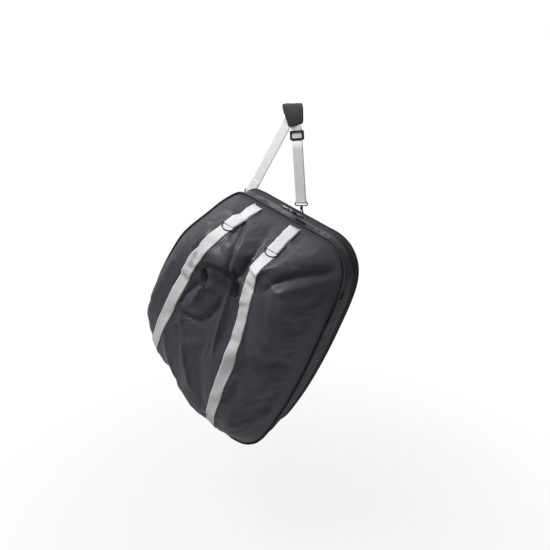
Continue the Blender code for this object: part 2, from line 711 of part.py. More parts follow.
def make_hook(side, seat, ring_frame, target, parent):
    """Swivel hook on a pulled ring: hook, sprung gate and the eye that the webbing holds.

    The hook's Z axis is its swivel axis, and its X axis crosses the ring's wire.
    """
    pull = (target - seat[0]).normalized()
    ring_up = ring_frame.to_3x3() @ Vector((0, 0, 1))
    ring_face = ring_frame.to_3x3() @ Vector((0, 1, 0))
    lean = math.atan2(pull.dot(seat[1]), pull.dot(ring_up))
    touch = seat[0] + RING_RADIUS * (math.sin(lean) * seat[1] + math.cos(lean) * ring_up)
    pull = (target - touch).normalized()
    drop = HOOK_REACH + HOOK_BOWL - HOOK_WIRE - RING_WIRE - GAP
    swivel = touch + pull * drop
    face = (ring_face - pull * ring_face.dot(pull)).normalized()
    frame = make_frame(swivel, face, pull)

    bowl = Vector((0, 0, -HOOK_REACH))
    path = [Vector((0, 0, -BARREL_LENGTH / 2)), Vector((0, 0, -BARREL_LENGTH - HOOK_WIRE / 2)),
            Vector((HOOK_BOWL * HOOK_NECK_SHARE, 0, -BARREL_LENGTH - 2 * HOOK_WIRE)),
            Vector((HOOK_BOWL, 0, (bowl.z - BARREL_LENGTH - 2 * HOOK_WIRE) / 2))]
    for step in range(9):
        turn = math.pi * step / 8
        path.append(bowl + HOOK_BOWL * Vector((math.cos(turn), 0, -math.sin(turn))))
    path.append(Vector((-HOOK_BOWL, 0, -HOOK_REACH + HOOK_OPENING)))
    hook_bm = wire(path, HOOK_WIRE, Vector((0, 1, 0)), 8)
    hook_bm.transform(frame)
    hook = add_object("hook_" + side, hook_bm, "black_metal", parent, frame)
    top = Vector((0, 0, -GAP))
    foot = Vector((0, 0, -BARREL_LENGTH))
    barrel_bm = rod(BARREL_RADIUS, foot, top, 14)
    barrel_bm.transform(frame)
    barrel = add_cutter("hook_" + side + "_barrel", barrel_bm, parent, frame)
    bore_bm = rod(POST_RADIUS + GAP, Vector((0, 0, -POST_LENGTH - GAP)), Vector((0, 0, CUT)), 12)
    bore_bm.transform(frame)
    bore = add_cutter("hook_" + side + "_bore", bore_bm, parent, frame)
    combine(hook, "UNION", barrel)
    combine(hook, "DIFFERENCE", bore)

    pin = Vector((-BARREL_RADIUS - GATE_RADIUS - GAP, 0, -BARREL_LENGTH))
    tip = Vector((-HOOK_BOWL, 0, -HOOK_REACH + HOOK_OPENING + GAP))
    gate_frame = frame @ Matrix.Translation(pin) @ Matrix.Rotation(math.pi / 2, 4, "Z")
    gate_bm = rod(GATE_RADIUS, pin, tip, 8)
    gate_bm.transform(frame)
    add_object("hook_gate_" + side, gate_bm, "black_metal", parent, gate_frame)

    half = WEBBING_WIDTH / 2 + GAP + EYE_CORNER
    eye_path = []
    for cx, cz, first in ((1, 1, 0.0), (-1, 1, 0.5), (-1, 0, 1.0), (1, 0, 1.5)):
        for step in range(3):
            turn = math.pi * (first + 0.25 * step)
            middle = Vector((cx * (half - EYE_CORNER), 0, EYE_CORNER + cz * (EYE_DEPTH - 2 * EYE_CORNER)))
            eye_path.append(middle + EYE_CORNER * Vector((math.cos(turn), 0, math.sin(turn))))
    lower_bar = EYE_WIRE + GAP
    across = to_bag_axis()
    eye_x = (across - pull * across.dot(pull)).normalized()
    eye_frame = make_frame(swivel + pull * lower_bar, eye_x, pull)
    eye_bm = wire(eye_path, EYE_WIRE, Vector((0, 1, 0)), 8, True)
    eye_bm.transform(eye_frame)
    eye = add_object("hook_eye_" + side, eye_bm, "black_metal", parent, eye_frame)
    post_bm = rod(POST_RADIUS, Vector((0, 0, -POST_LENGTH - lower_bar)), Vector((0, 0, EYE_WIRE / 2)), 12)
    post_bm.transform(eye_frame)
    post = add_cutter("hook_eye_" + side + "_post", post_bm, parent, eye_frame)
    combine(eye, "UNION", post)
    top_bar = swivel + pull * (lower_bar + EYE_DEPTH)
    return top_bar, pull, eye_x


def to_bag_axis():
    """World X, across which the shoulder strap lies, in the bag frame."""
    return BAG_TURN.inverted() @ Vector((1, 0, 0))


def wrap_end(bar, pull, across, return_length):
    """Webbing path from a stitched end back to an eye's bar, round it and out on the other side."""
    face = pull.cross(across).normalized()
    bend = EYE_WIRE + GAP + WEBBING_THICKNESS / 2
    close = WEBBING_THICKNESS / 2 + GAP
    path = [bar + pull * return_length - face * close, bar + pull * (3 * bend) - face * close]
    for step in range(7):
        turn = math.pi * step / 6
        path.append(bar - face * (bend * math.cos(turn)) - pull * (bend * math.sin(turn)))
    path.append(bar + pull * (3 * bend) + face * close)
    return path


def make_shoulder_strap(ends, parent):
    """White webbing from the left hook over the shoulder, through the adjuster, to the right hook."""
    across = to_bag_axis()
    left_bar, left_pull, left_across = ends["left"]
    right_bar, right_pull, right_across = ends["right"]
    rows = (SHOULDER_BACK_SHARES, SHOULDER_TOP_BACK_SHARES, SHOULDER_TOP_SHARES,
            SHOULDER_TOP_FRONT_SHARES, SHOULDER_FRONT_SHARES)
    route = [to_bag(shares) for shares in rows]
    glide = to_bag(GLIDE_SHARES)
    straight = right_pull * (GLIDE_LENGTH / 2 + GLIDE_MARGIN)
    before = route[0] - left_pull * (route[1] - route[0]).length
    over = [*spline(route, before, glide + straight, 7), glide + straight]
    left = wrap_end(left_bar, left_pull, left_across, RETURN_LENGTH)
    reach = (glide - right_bar).dot(right_pull) - GLIDE_LENGTH / 2 - GAP
    right = wrap_end(right_bar, right_pull, right_across, reach)
    path = [*left, *over, glide - straight, *reversed(right)]
    acrosses = [left_across] * len(left) + [across] * (len(over) - 1) + [right_across] * (len(right) + 2)
    webbing = ribbon(path, acrosses, WEBBING_WIDTH, WEBBING_THICKNESS)
    add_object("shoulder_webbing", webbing, "light_webbing", parent)
    return over, glide, right_pull, right_across


def make_pad(over, parent):
    """Padded sleeve, tapered at its ends, with a flat tunnel for the webbing."""
    across = to_bag_axis()
    first = round(PAD_START_SHARE * len(over))
    beyond = round(PAD_END_SHARE * len(over))
    frames = []
    for point, along in list(zip(over, tangents(over, False)))[first:beyond]:
        side = (across - along * across.dot(along)).normalized()
        frames.append((point, side, along.cross(side)))
    profiles = []
    last = len(frames) - 1
    slot = WEBBING_WIDTH / 2 + PAD_SLOT_MARGIN
    for step in range(PAD_SIDES):
        turn = 2 * math.pi * step / PAD_SIDES
        across, up = rounded(turn, PAD_SQUARENESS)
        slot_across, slot_up = rounded(turn, SLOT_SQUARENESS)
        outer, inner = [], []
        for index, (point, side, face) in enumerate(frames):
            taper = math.sqrt(min(min(index, last - index) / last / PAD_TAPER_SHARE, 1.0))
            width = PAD_END_WIDTH + (PAD_WIDTH - PAD_END_WIDTH) * taper
            thick = PAD_THICKNESS * (PAD_END_THICKNESS_SHARE + (1 - PAD_END_THICKNESS_SHARE) * taper)
            outer.append(point + side * (across * width / 2) + face * (up * thick / 2))
            inner.append(point + side * (slot_across * slot) + face * (slot_up * PAD_SLOT / 2))
        profiles.append([*outer, *reversed(inner)])
    add_object("shoulder_pad", sweep(profiles, True), "pad_cloth", parent)


def make_glide(glide, pull, side, parent):
    """Adjuster: two bars in front of the webbing and one behind it, in a solid frame."""
    frame = make_frame(glide, pull, pull.cross(side))
    inner = WEBBING_WIDTH + 2 * GLIDE_PLAY
    width = inner + 2 * GLIDE_SIDE
    body = block((GLIDE_LENGTH, width, GLIDE_DEPTH), (0, 0, 0), frame)
    piece = add_object("tri_glide", body, "black_metal", parent, frame, smooth=False)
    slot = WEBBING_THICKNESS + 2 * GAP
    window = GLIDE_LENGTH - 2 * GLIDE_BAR
    beyond = GLIDE_LENGTH / 2 - GLIDE_BAR + CUT
    deep = GLIDE_DEPTH
    cuts = (("slot", (GLIDE_LENGTH + CUT, inner, slot), (0, 0, 0)),
            ("front_window", (window, inner, deep), (0, 0, -deep / 2)),
            ("low_window", (beyond, inner, deep), (-GLIDE_BAR - beyond / 2, 0, deep / 2)),
            ("high_window", (beyond, inner, deep), (GLIDE_BAR + beyond / 2, 0, deep / 2)))
    for name, size, centre in cuts:
        cutter = add_cutter("tri_glide_" + name, block(size, centre, frame), parent, frame)
        combine(piece, "DIFFERENCE", cutter)


def make_sliders(parent):
    """Two zip sliders, nose to nose on the top edge, each with a hinged pull."""
    top = HALF_HEIGHT
    for side, sign in (("left", -1), ("right", 1)):
        middle = ZIP_MEET + sign * (SLIDER_LENGTH / 2 + GAP)
        pivot = Matrix.Translation((middle, ZIP_LINE, top))
        width = TEETH_HALF + SLIDER_OVERHANG
        low = TEETH_RISE + GAP
        plate = block((SLIDER_LENGTH, 2 * width, SLIDER_PLATE),
                      (middle, ZIP_LINE, top + low + SLIDER_PLATE / 2))
        slider = add_object("zip_slider_" + side, plate, "black_metal", parent, pivot, smooth=False)
        flange_low = -TAPE_DROP + GAP
        flange_high = low + SLIDER_PLATE / 2
        flange_wide = SLIDER_OVERHANG - GAP
        flange = add_cutter("zip_slider_" + side + "_flange", block(
            (SLIDER_LENGTH, flange_wide, flange_high - flange_low),
            (middle, ZIP_LINE + width - flange_wide / 2, top + (flange_low + flange_high) / 2)), parent)
        deck = top + low + SLIDER_PLATE
        bridge = add_cutter("zip_slider_" + side + "_bridge", block(
            (BRIDGE_LENGTH, BRIDGE_WIDTH, BRIDGE_HEIGHT),
            (middle, ZIP_LINE, deck + BRIDGE_HEIGHT / 2 - GAP)), parent)
        hole = add_cutter("zip_slider_" + side + "_hole", block(
            (BRIDGE_LENGTH - 2 * BRIDGE_BAR, CUT, BRIDGE_HEIGHT - BRIDGE_BAR - GAP),
            (middle, ZIP_LINE, deck + (BRIDGE_HEIGHT - BRIDGE_BAR - GAP) / 2)), parent)
        combine(slider, "UNION", flange)
        combine(slider, "UNION", bridge)
        combine(slider, "DIFFERENCE", hole)
        reach = math.hypot(PULL_BAR, PULL_THICKNESS) / 2 + GAP
        low_bar = deck + reach
        axis = Vector((middle + sign * (BRIDGE_LENGTH / 2 - BRIDGE_BAR - reach), ZIP_LINE, low_bar))
        far = axis.x + sign * (PULL_LENGTH - PULL_BAR / 2)
        near = axis.x - sign * PULL_BAR / 2
        tab = block((PULL_LENGTH, PULL_WIDTH, PULL_THICKNESS), ((near + far) / 2, ZIP_LINE, low_bar))
        frame = Matrix.Translation(axis) @ Matrix.Rotation(math.pi / 2, 4, "Z")
        pull = add_object("zip_pull_" + side, tab, "black_metal", parent, frame, smooth=False)
        slot_middle = axis.x + sign * (PULL_BAR / 2 + PULL_SLOT_LENGTH / 2)
        slot = add_cutter("zip_pull_" + side + "_slot", block(
            (PULL_SLOT_LENGTH, PULL_SLOT_WIDTH, CUT), (slot_middle, ZIP_LINE, low_bar)), parent)
        combine(pull, "DIFFERENCE", slot)


def rounded(turn, squareness):
    """Point of a unit circle, pushed towards a square for a squareness below one."""
    return [math.copysign(abs(value) ** squareness, value) for value in (math.cos(turn), math.sin(turn))]


def oval(point, side, face, width, thickness, sides=8):
    """Rounded cross-section of a grip."""
    ring = []
    for step in range(sides):
        across, up = rounded(2 * math.pi * (step + 0.5) / sides, GRIP_SQUARENESS)
        ring.append(point + side * (width / 2 * across) + face * (thickness / 2 * up))
    return ring


def make_handle(skins, parent):
    """Black webbing handle whose two ends are sewn to the lid and whose middle is a folded grip."""
    feet = []
    across = (in_plan(HANDLE_RIGHT_SHARES) - in_plan(HANDLE_LEFT_SHARES)).normalized()
    upward = Vector((-across.z, 0, across.x))
    for side, pair in (("left", HANDLE_LEFT_SHARES), ("right", HANDLE_RIGHT_SHARES)):
        fold = in_plan(pair)
        low = fold - upward * ANCHOR_LENGTH
        sewn_piece("handle_end_" + side, [fold, low], HANDLE_WIDTH, skins["front", "first"], -1,
                   "black_webbing", parent)
        start = fold + upward * HANDLE_THICKNESS
        feet.append(skin_hit(FRONT_GRID, FOOT_LIFT, -1, start.x, start.z))
    left, right = feet
    middle = (left + right) / 2
    outward = Vector((0, -1, 0))
    rise = upward * GRIP_STAND_OFF
    shape = []
    span = right - left
    for along_share, rise_share, out_share in GRIP_SHARES:
        shape.append(left + span * along_share + rise * rise_share + outward * (GRIP_STAND_OFF * out_share))
    curve = spline(shape, shape[0] - rise, shape[-1] - rise, 3)
    sections = []
    last = len(curve) - 1
    for index, (point, along) in enumerate(zip(curve, tangents(curve, False))):
        face = outward - along * outward.dot(along)
        face.normalize()
        side = along.cross(face)
        share = min(min(index, last - index) / last / GRIP_TAPER_SHARE, 1.0)
        width = HANDLE_WIDTH + (GRIP_WIDTH - HANDLE_WIDTH) * share
        thick = HANDLE_THICKNESS + (GRIP_THICKNESS - HANDLE_THICKNESS) * share
        sections.append(oval(point, side, face, width, thick))
    frame = make_frame(middle, span, upward)
    add_object("handle_grip", sweep(sections), "black_webbing", parent, frame)


def make_tabs(parent):
    """Bare label tab in the right side seam, and the black tab that stands up from the top seam."""
    target = LABEL_SHARE * HALF_HEIGHT
    index = min(range(RIGHT_STEPS), key=lambda i: abs(OUTLINE[i].z - target))
    behind = PIPING_RADIUS + 2 * LABEL_THICKNESS
    before, foot, after = (on_outline(i, GAP, front_seam(i) + behind) for i in (index - 1, index, index + 1))
    frame = make_frame(foot, after - before, OUTWARD[index])
    label = block((LABEL_LENGTH, LABEL_THICKNESS, LABEL_REACH), (0, 0, LABEL_REACH / 2), frame)
    add_object("label_tab", label, "black_webbing", parent, frame, smooth=False)
    behind = PIPING_RADIUS + GAP + TAB_THICKNESS / 2
    foot = Vector((in_plan(FRONT_RIGHT_SHARES[0]).x, ZIP_LINE - LID_WALL_TOP + behind, HALF_HEIGHT + GAP))
    size = (WEBBING_WIDTH, TAB_THICKNESS, TAB_HEIGHT)
    frame = Matrix.Translation(foot)
    tab = block(size, (0, 0, TAB_HEIGHT / 2), frame)
    add_object("front_tab", tab, "black_webbing", parent, frame, smooth=False)


clear_scene()
BAG_TURN = Matrix.Rotation(BAG_TILT, 3, "Y")
bag = bpy.data.objects.new("bag_frame", None)
bpy.context.collection.objects.link(bag)
rest_point = Vector(SHOULDER_TOP_SHARES) * STRAP_RISE - Vector((0, 0, PAD_THICKNESS / 2))
bag.matrix_world = Matrix.Translation(-rest_point) @ BAG_TURN.to_4x4()

make_panel("front_panel", FRONT_GRID, -1, bag)
make_panel("back_panel", BACK_GRID, 1, bag)
make_walls(bag)
make_zip(bag)
layers = make_skins(bag)
make_straps(layers, bag)
seats = make_rings(layers, bag)
hook_ends = {
    "left": make_hook("left", *seats["back_left"], to_bag(SHOULDER_BACK_SHARES), bag),
    "right": make_hook("right", *seats["back_right"], to_bag(GLIDE_SHARES), bag),
}
over_shoulder, glide_point, glide_pull, glide_across = make_shoulder_strap(hook_ends, bag)
make_pad(over_shoulder, bag)
make_glide(glide_point, glide_pull, glide_across, bag)
make_sliders(bag)
make_handle(layers, bag)
make_tabs(bag)
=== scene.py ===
import math

import bmesh
import bpy
import numpy as np
from mathutils import Matrix, Vector, noise
from mathutils.bvhtree import BVHTree


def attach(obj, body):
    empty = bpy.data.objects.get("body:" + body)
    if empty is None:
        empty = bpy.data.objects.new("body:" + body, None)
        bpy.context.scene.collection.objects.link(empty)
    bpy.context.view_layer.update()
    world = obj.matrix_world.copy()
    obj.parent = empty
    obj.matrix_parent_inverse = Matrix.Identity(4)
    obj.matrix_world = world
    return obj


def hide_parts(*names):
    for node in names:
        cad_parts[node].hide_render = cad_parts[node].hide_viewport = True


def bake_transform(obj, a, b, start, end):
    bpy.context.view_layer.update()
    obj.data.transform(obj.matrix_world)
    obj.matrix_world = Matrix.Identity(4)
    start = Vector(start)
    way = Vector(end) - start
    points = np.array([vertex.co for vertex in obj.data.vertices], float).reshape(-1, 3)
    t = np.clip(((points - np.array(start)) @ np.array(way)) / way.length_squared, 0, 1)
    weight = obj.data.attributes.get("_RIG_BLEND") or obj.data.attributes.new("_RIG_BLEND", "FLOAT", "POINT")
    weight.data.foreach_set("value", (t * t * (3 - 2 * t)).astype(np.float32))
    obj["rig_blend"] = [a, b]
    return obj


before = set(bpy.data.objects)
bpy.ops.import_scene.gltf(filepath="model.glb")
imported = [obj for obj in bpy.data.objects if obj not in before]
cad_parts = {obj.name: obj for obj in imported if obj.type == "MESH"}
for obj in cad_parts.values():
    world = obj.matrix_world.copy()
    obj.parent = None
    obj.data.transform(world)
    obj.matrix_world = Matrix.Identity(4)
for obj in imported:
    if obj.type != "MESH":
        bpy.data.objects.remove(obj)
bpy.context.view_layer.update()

# Camera, floor and light. The bag hangs clear of a pale studio floor; a large soft lamp
# stands high in front of it and the room fills the shadows.
scene = bpy.context.scene
scene.view_settings.view_transform = "Standard"

CAMERA_PLACE = (0.857, -1.601, -0.035)
CAMERA_PITCH = math.radians(-17)
CAMERA_TURN = math.radians(30)
CAMERA_LENS = 33.45
CAMERA_SENSOR = 36.0
FLOOR_HEIGHT = -1.64
FLOOR_SIZE = 80.0
FLOOR_DARK = (0.50, 0.50, 0.50, 1)
FLOOR_LIGHT = (0.54, 0.54, 0.54, 1)
FLOOR_GRAIN = 3.0
FADE_START = 1.4
FADE_END = 2.3
FADE_LEAST = 0.80
WHITE = (1, 1, 1, 1)
ROOM_GREY = (0.86, 0.87, 0.90, 1)
ROOM_STRENGTH = 0.26
LAMPS = (
    ("lamp_key", (-0.8, -1.5, 2.2), 1.1, 100.0),
    ("lamp_side", (2.4, -1.4, 0.8), 1.2, 3.0),
    ("lamp_back", (-1.2, 2.4, 1.4), 1.6, 50.0),
)
LAMP_AIM = Vector((-0.1, -0.1, -0.75))

camera_data = bpy.data.cameras.new("camera")
camera_data.sensor_fit = "HORIZONTAL"
camera_data.sensor_width = CAMERA_SENSOR
camera_data.lens = CAMERA_LENS
camera = bpy.data.objects.new("camera", camera_data)
camera.location = CAMERA_PLACE
camera.rotation_euler = (math.pi / 2 + CAMERA_PITCH, 0, CAMERA_TURN)
scene.collection.objects.link(camera)
scene.camera = camera

for lamp_name, lamp_place, lamp_size, lamp_power in LAMPS:
    lamp_data = bpy.data.lights.new(lamp_name, "AREA")
    lamp_data.size = lamp_size
    lamp_data.energy = lamp_power
    lamp = bpy.data.objects.new(lamp_name, lamp_data)
    lamp.location = lamp_place
    lamp.rotation_euler = (LAMP_AIM - Vector(lamp_place)).to_track_quat("-Z", "Y").to_euler()
    scene.collection.objects.link(lamp)


def new_nodes(owner):
    """Empty node tree of a material or world."""
    owner.use_nodes = True
    owner.node_tree.nodes.clear()
    return owner.node_tree


def add_node(tree, kind, sockets=None, **settings):
    """New shader node, whose sockets are set to values or linked from other nodes."""
    node = tree.nodes.new("ShaderNode" + kind)
    for key, value in settings.items():
        setattr(node, key, value)
    for socket, value in (sockets or {}).items():
        if isinstance(value, bpy.types.NodeSocket):
            tree.links.new(value, node.inputs[socket])
        else:
            node.inputs[socket].default_value = value
    return node


def math_node(tree, operation, *inputs):
    """Output of a math node with its inputs linked or set."""
    return add_node(tree, "Math", dict(enumerate(inputs)), operation=operation).outputs[0]


def tone_node(tree, share, dark, light):
    """Output of a mix between two tones."""
    return add_node(tree, "Mix", {"Factor": share, 6: dark, 7: light}, data_type="RGBA").outputs[2]


def seen_ray(tree):
    """One where the camera looks, and zero for the light itself."""
    return add_node(tree, "LightPath").outputs["Is Camera Ray"]


room = bpy.data.worlds.new("room")
scene.world = room
tree = new_nodes(room)
fill_light = add_node(tree, "Background", {"Color": ROOM_GREY, "Strength": ROOM_STRENGTH})
white_wall = add_node(tree, "Background", {"Color": WHITE})
room_mix = add_node(tree, "MixShader", {
    0: seen_ray(tree), 1: fill_light.outputs[0], 2: white_wall.outputs[0]})
add_node(tree, "OutputWorld", {"Surface": room_mix.outputs[0]})


def place(name, bm, finish):
    """Turns a bmesh into a linked object with one material and smooth faces."""
    mesh = bpy.data.meshes.new(name)
    bm.to_mesh(mesh)
    bm.free()
    piece = bpy.data.objects.new(name, mesh)
    scene.collection.objects.link(piece)
    mesh.materials.append(finish)
    for face in mesh.polygons:
        face.use_smooth = True
    return piece


floor_paint = bpy.data.materials.new("floor_paint")
tree = new_nodes(floor_paint)
floor_at = add_node(tree, "TexCoord").outputs["Object"]
floor_grain = add_node(tree, "TexNoise", {"Scale": FLOOR_GRAIN, "Vector": floor_at}).outputs["Fac"]
floor_shader = add_node(tree, "BsdfPrincipled", {
    "Roughness": 0.9, "Base Color": tone_node(tree, floor_grain, FLOOR_DARK, FLOOR_LIGHT)})
floor_glow = add_node(tree, "Emission", {"Color": WHITE, "Strength": 1.0})
floor_length = add_node(tree, "VectorMath", {0: floor_at}, operation="LENGTH").outputs["Value"]
floor_far = add_node(tree, "MapRange", {
    "Value": floor_length, "From Min": FADE_START, "From Max": FADE_END, "To Min": FADE_LEAST},
    interpolation_type="SMOOTHSTEP").outputs["Result"]
floor_share = math_node(tree, "MULTIPLY", floor_far, seen_ray(tree))
floor_mix = add_node(tree, "MixShader", {
    0: floor_share, 1: floor_shader.outputs[0], 2: floor_glow.outputs[0]})
add_node(tree, "OutputMaterial", {"Surface": floor_mix.outputs[0]})

floor_bm = bmesh.new()
bmesh.ops.create_grid(floor_bm, x_segments=4, y_segments=4, size=FLOOR_SIZE)
bmesh.ops.translate(floor_bm, verts=floor_bm.verts, vec=(0, 0, FLOOR_HEIGHT))
place("studio_floor", floor_bm, floor_paint)

# Front panel: one large piece of coated polyester cloth. It is sewn into the piping all round, hangs
# slack over the load and is creased where the handle and the straps pull at it.
BAG_CENTRE = Vector((-0.132, -0.16, -0.726))
BAG_LEAN = math.radians(22)
BAG = Matrix.Translation(BAG_CENTRE) @ Matrix.Rotation(BAG_LEAN, 4, "Y")
HALF_LENGTH = 0.3275
HALF_HEIGHT = 0.427
ZIP_LINE = 0.075
LID_WALL = 0.145
LID_WALL_TOP = 0.065
BACK_SEAM = 0.105
FRONT_CROWN_LINE = -0.200
BACK_CROWN_LINE = 0.145
TOP_START = 0.45
GAP = 0.0003
CLOTH = 0.0016
FINE = 6

HINGE_LEFT_SHARES = (0.093, -1.0)
HINGE_RIGHT_SHARES = (0.58, -1.0)
TOP_RIGHT_SHARES = (0.46, 1.0)
TOP_LEFT_SHARES = (-0.35, 1.0)
RIGHT_SIDE_SHARES = (
    (0.756, -0.944), (0.863, -0.831), (0.927, -0.621), (0.976, -0.316), (1.0, 0.035),
    (1.0, 0.34), (0.988, 0.597), (0.939, 0.789), (0.811, 0.93), (0.643, 0.991))
LEFT_SIDE_SHARES = (
    (-0.502, 0.96), (-0.609, 0.867), (-0.701, 0.726), (-0.838, 0.504), (-0.936, 0.246),
    (-0.991, 0.012), (-1.0, -0.176), (-0.954, -0.34), (-0.808, -0.527), (-0.624, -0.667),
    (-0.426, -0.749), (-0.273, -0.808), (-0.136, -0.902))
RIGHT_STEPS, TOP_STEPS, LEFT_STEPS, HINGE_STEPS = 22, 9, 27, 6
HINGE_FIRST = RIGHT_STEPS + TOP_STEPS + LEFT_STEPS


def spline(points, before, after, fine):
    """Smooth curve through points, with a point before and after it to set its ends."""
    chain = [before, *points, after]
    curve = []
    for index in range(1, len(chain) - 2):
        p0, p1, p2, p3 = chain[index - 1:index + 3]
        for step in range(fine):
            t = step / fine
            curve.append(0.5 * (2 * p1 + (p2 - p0) * t + (2 * p0 - 5 * p1 + 4 * p2 - p3) * t ** 2
                                + (3 * p1 - p0 - 3 * p2 + p3) * t ** 3))
    curve.append(points[-1])
    return curve


def resample(curve, steps):
    """Points at equal distances along a curve, its last point left out."""
    lengths = [0.0]
    for first, second in zip(curve, curve[1:]):
        lengths.append(lengths[-1] + (second - first).length)
    found = []
    index = 0
    for step in range(steps):
        target = lengths[-1] * step / steps
        while lengths[index + 1] < target:
            index += 1
        share = (target - lengths[index]) / (lengths[index + 1] - lengths[index])
        found.append(curve[index].lerp(curve[index + 1], share))
    return found


def in_plan(shares):
    """Point of the bag's middle plane from its shares of half length and half height."""
    return Vector((shares[0] * HALF_LENGTH, 0, shares[1] * HALF_HEIGHT))


def tangents(points, closed):
    """Unit direction of a row of points at each point."""
    count = len(points)
    found = []
    for index in range(count):
        before = points[index - 1] if closed or index else points[0]
        after = points[(index + 1) % count] if closed or index < count - 1 else points[-1]
        found.append((after - before).normalized())
    return found


def bag_outline():
    """Outline of the bag, smooth through the points of its pattern."""
    hinge_left, hinge_right = in_plan(HINGE_LEFT_SHARES), in_plan(HINGE_RIGHT_SHARES)
    top_right, top_left = in_plan(TOP_RIGHT_SHARES), in_plan(TOP_LEFT_SHARES)
    right = [hinge_right, *(in_plan(pair) for pair in RIGHT_SIDE_SHARES), top_right]
    left = [top_left, *(in_plan(pair) for pair in LEFT_SIDE_SHARES), hinge_left]
    coarse = resample(spline(right, hinge_left, top_left, 10), RIGHT_STEPS)
    coarse += resample([top_right, top_left], TOP_STEPS)
    coarse += resample(spline(left, top_right, hinge_right, 10), LEFT_STEPS)
    coarse += resample([hinge_left, hinge_right], HINGE_STEPS)
    points = []
    count = len(coarse)
    for index in range(count):
        four = [coarse[(index + step) % count] for step in (-1, 0, 1, 2)]
        points += spline(four[1:3], four[0], four[3], FINE)[:-1]
    return points


OUTLINE = bag_outline()
COUNT = len(OUTLINE)
OUTWARD = [Vector((along.z, 0, -along.x)) for along in tangents(OUTLINE, True)]
STEP_LENGTHS = [(OUTLINE[(i + 1) % COUNT] - OUTLINE[i]).length for i in range(COUNT)]
ARC = np.concatenate([[0.0], np.cumsum(STEP_LENGTHS)])


def on_outline(index, offset, depth):
    """Point of the side wall, offset out of the bag, at a depth."""
    point = OUTLINE[index % COUNT] + OUTWARD[index % COUNT] * offset
    return Vector((point.x, depth, point.z))


def ease(share):
    """Smooth step of a share between zero and one."""
    return share * share * (3 - 2 * share)


def front_seam(index):
    """Depth of the front seam, which the lid's top draws back."""
    share = (OUTLINE[index % COUNT].z / HALF_HEIGHT - TOP_START) / (1 - TOP_START)
    return ZIP_LINE - LID_WALL + (LID_WALL - LID_WALL_TOP) * ease(min(max(share, 0.0), 1.0))


def back_seam(index):
    """Depth of the back seam, the same all round."""
    return BACK_SEAM


CREASE_DEPTH = 1.8
CREASE_TAPER = 0.45


def along_crease(plan, line):
    """Distance of each plan point from a crease line, and its share of the way along it."""
    best = np.full(len(plan), 9.0)
    where = np.zeros(len(plan))
    pins = np.array(line, float)
    steps = np.linalg.norm(pins[1:] - pins[:-1], axis=1)
    total = steps.sum()
    passed = 0.0
    for start, end, step in zip(pins[:-1], pins[1:], steps):
        share = np.clip(((plan - start) @ (end - start)) / max(step * step, 1e-9), 0, 1)
        away = np.linalg.norm(plan - (start + share[:, None] * (end - start)), axis=1)
        near = away < best
        best[near] = away[near]
        where[near] = ((passed + share * step) / total)[near]
        passed += step
    return best, where


def crease_height(plan, creases, bulges):
    """Height of the cloth over its plain shape. Each row is a rise, a width and points, in millimetres."""
    height = np.zeros(len(plan))
    for rise, width, *line in creases:
        away, where = along_crease(plan, np.array(line).reshape(-1, 2) / 1000)
        fade = np.sin(np.pi * np.clip(where, 0.02, 0.98)) ** CREASE_TAPER
        fall = np.exp(1 - np.sqrt(1 + (away / (0.5 * (width / 1000))) ** 2))
        height += CREASE_DEPTH * (rise / 1000) * fade * fall
    for rise, width, *centre in bulges:
        away = np.linalg.norm(plan - np.array(centre) / 1000, axis=1)
        height += rise / 1000 * np.exp(-(away / (width / 1000)) ** 2)
    return height


def ripple(points, size, seed):
    """Smooth seeded unevenness between about minus one and one."""
    return np.array([noise.noise(Vector((p[0] / size + seed, p[1] / size, seed * 1.7))) for p in points])


RIM_WIDTH = 0.09
PUCKER_PITCH = 0.020
PUCKER_WIDTH = 0.07


def dress_cloth(data, rim_fade, creases, bulges, waves, pucker, still):
    """Height of a panel's folds, which leave the cloth flat where things are sewn on."""
    plan = data[:, :2]
    height = crease_height(plan, creases, bulges)
    height += sum(rise * ripple(plan, size, seed) for rise, size, seed in waves)
    along_rim = ripple(np.stack([data[:, 4], data[:, 4] * 0], axis=1), PUCKER_PITCH, 5.3)
    height = height * rim_fade + pucker * along_rim * rim_fade * np.exp(-(1 - data[:, 3]) / PUCKER_WIDTH)
    for x, z, reach in still:
        away = np.linalg.norm(plan - np.array((x, z)), axis=1)
        height *= 1 - np.exp(-(away / reach) ** 4)
    return height


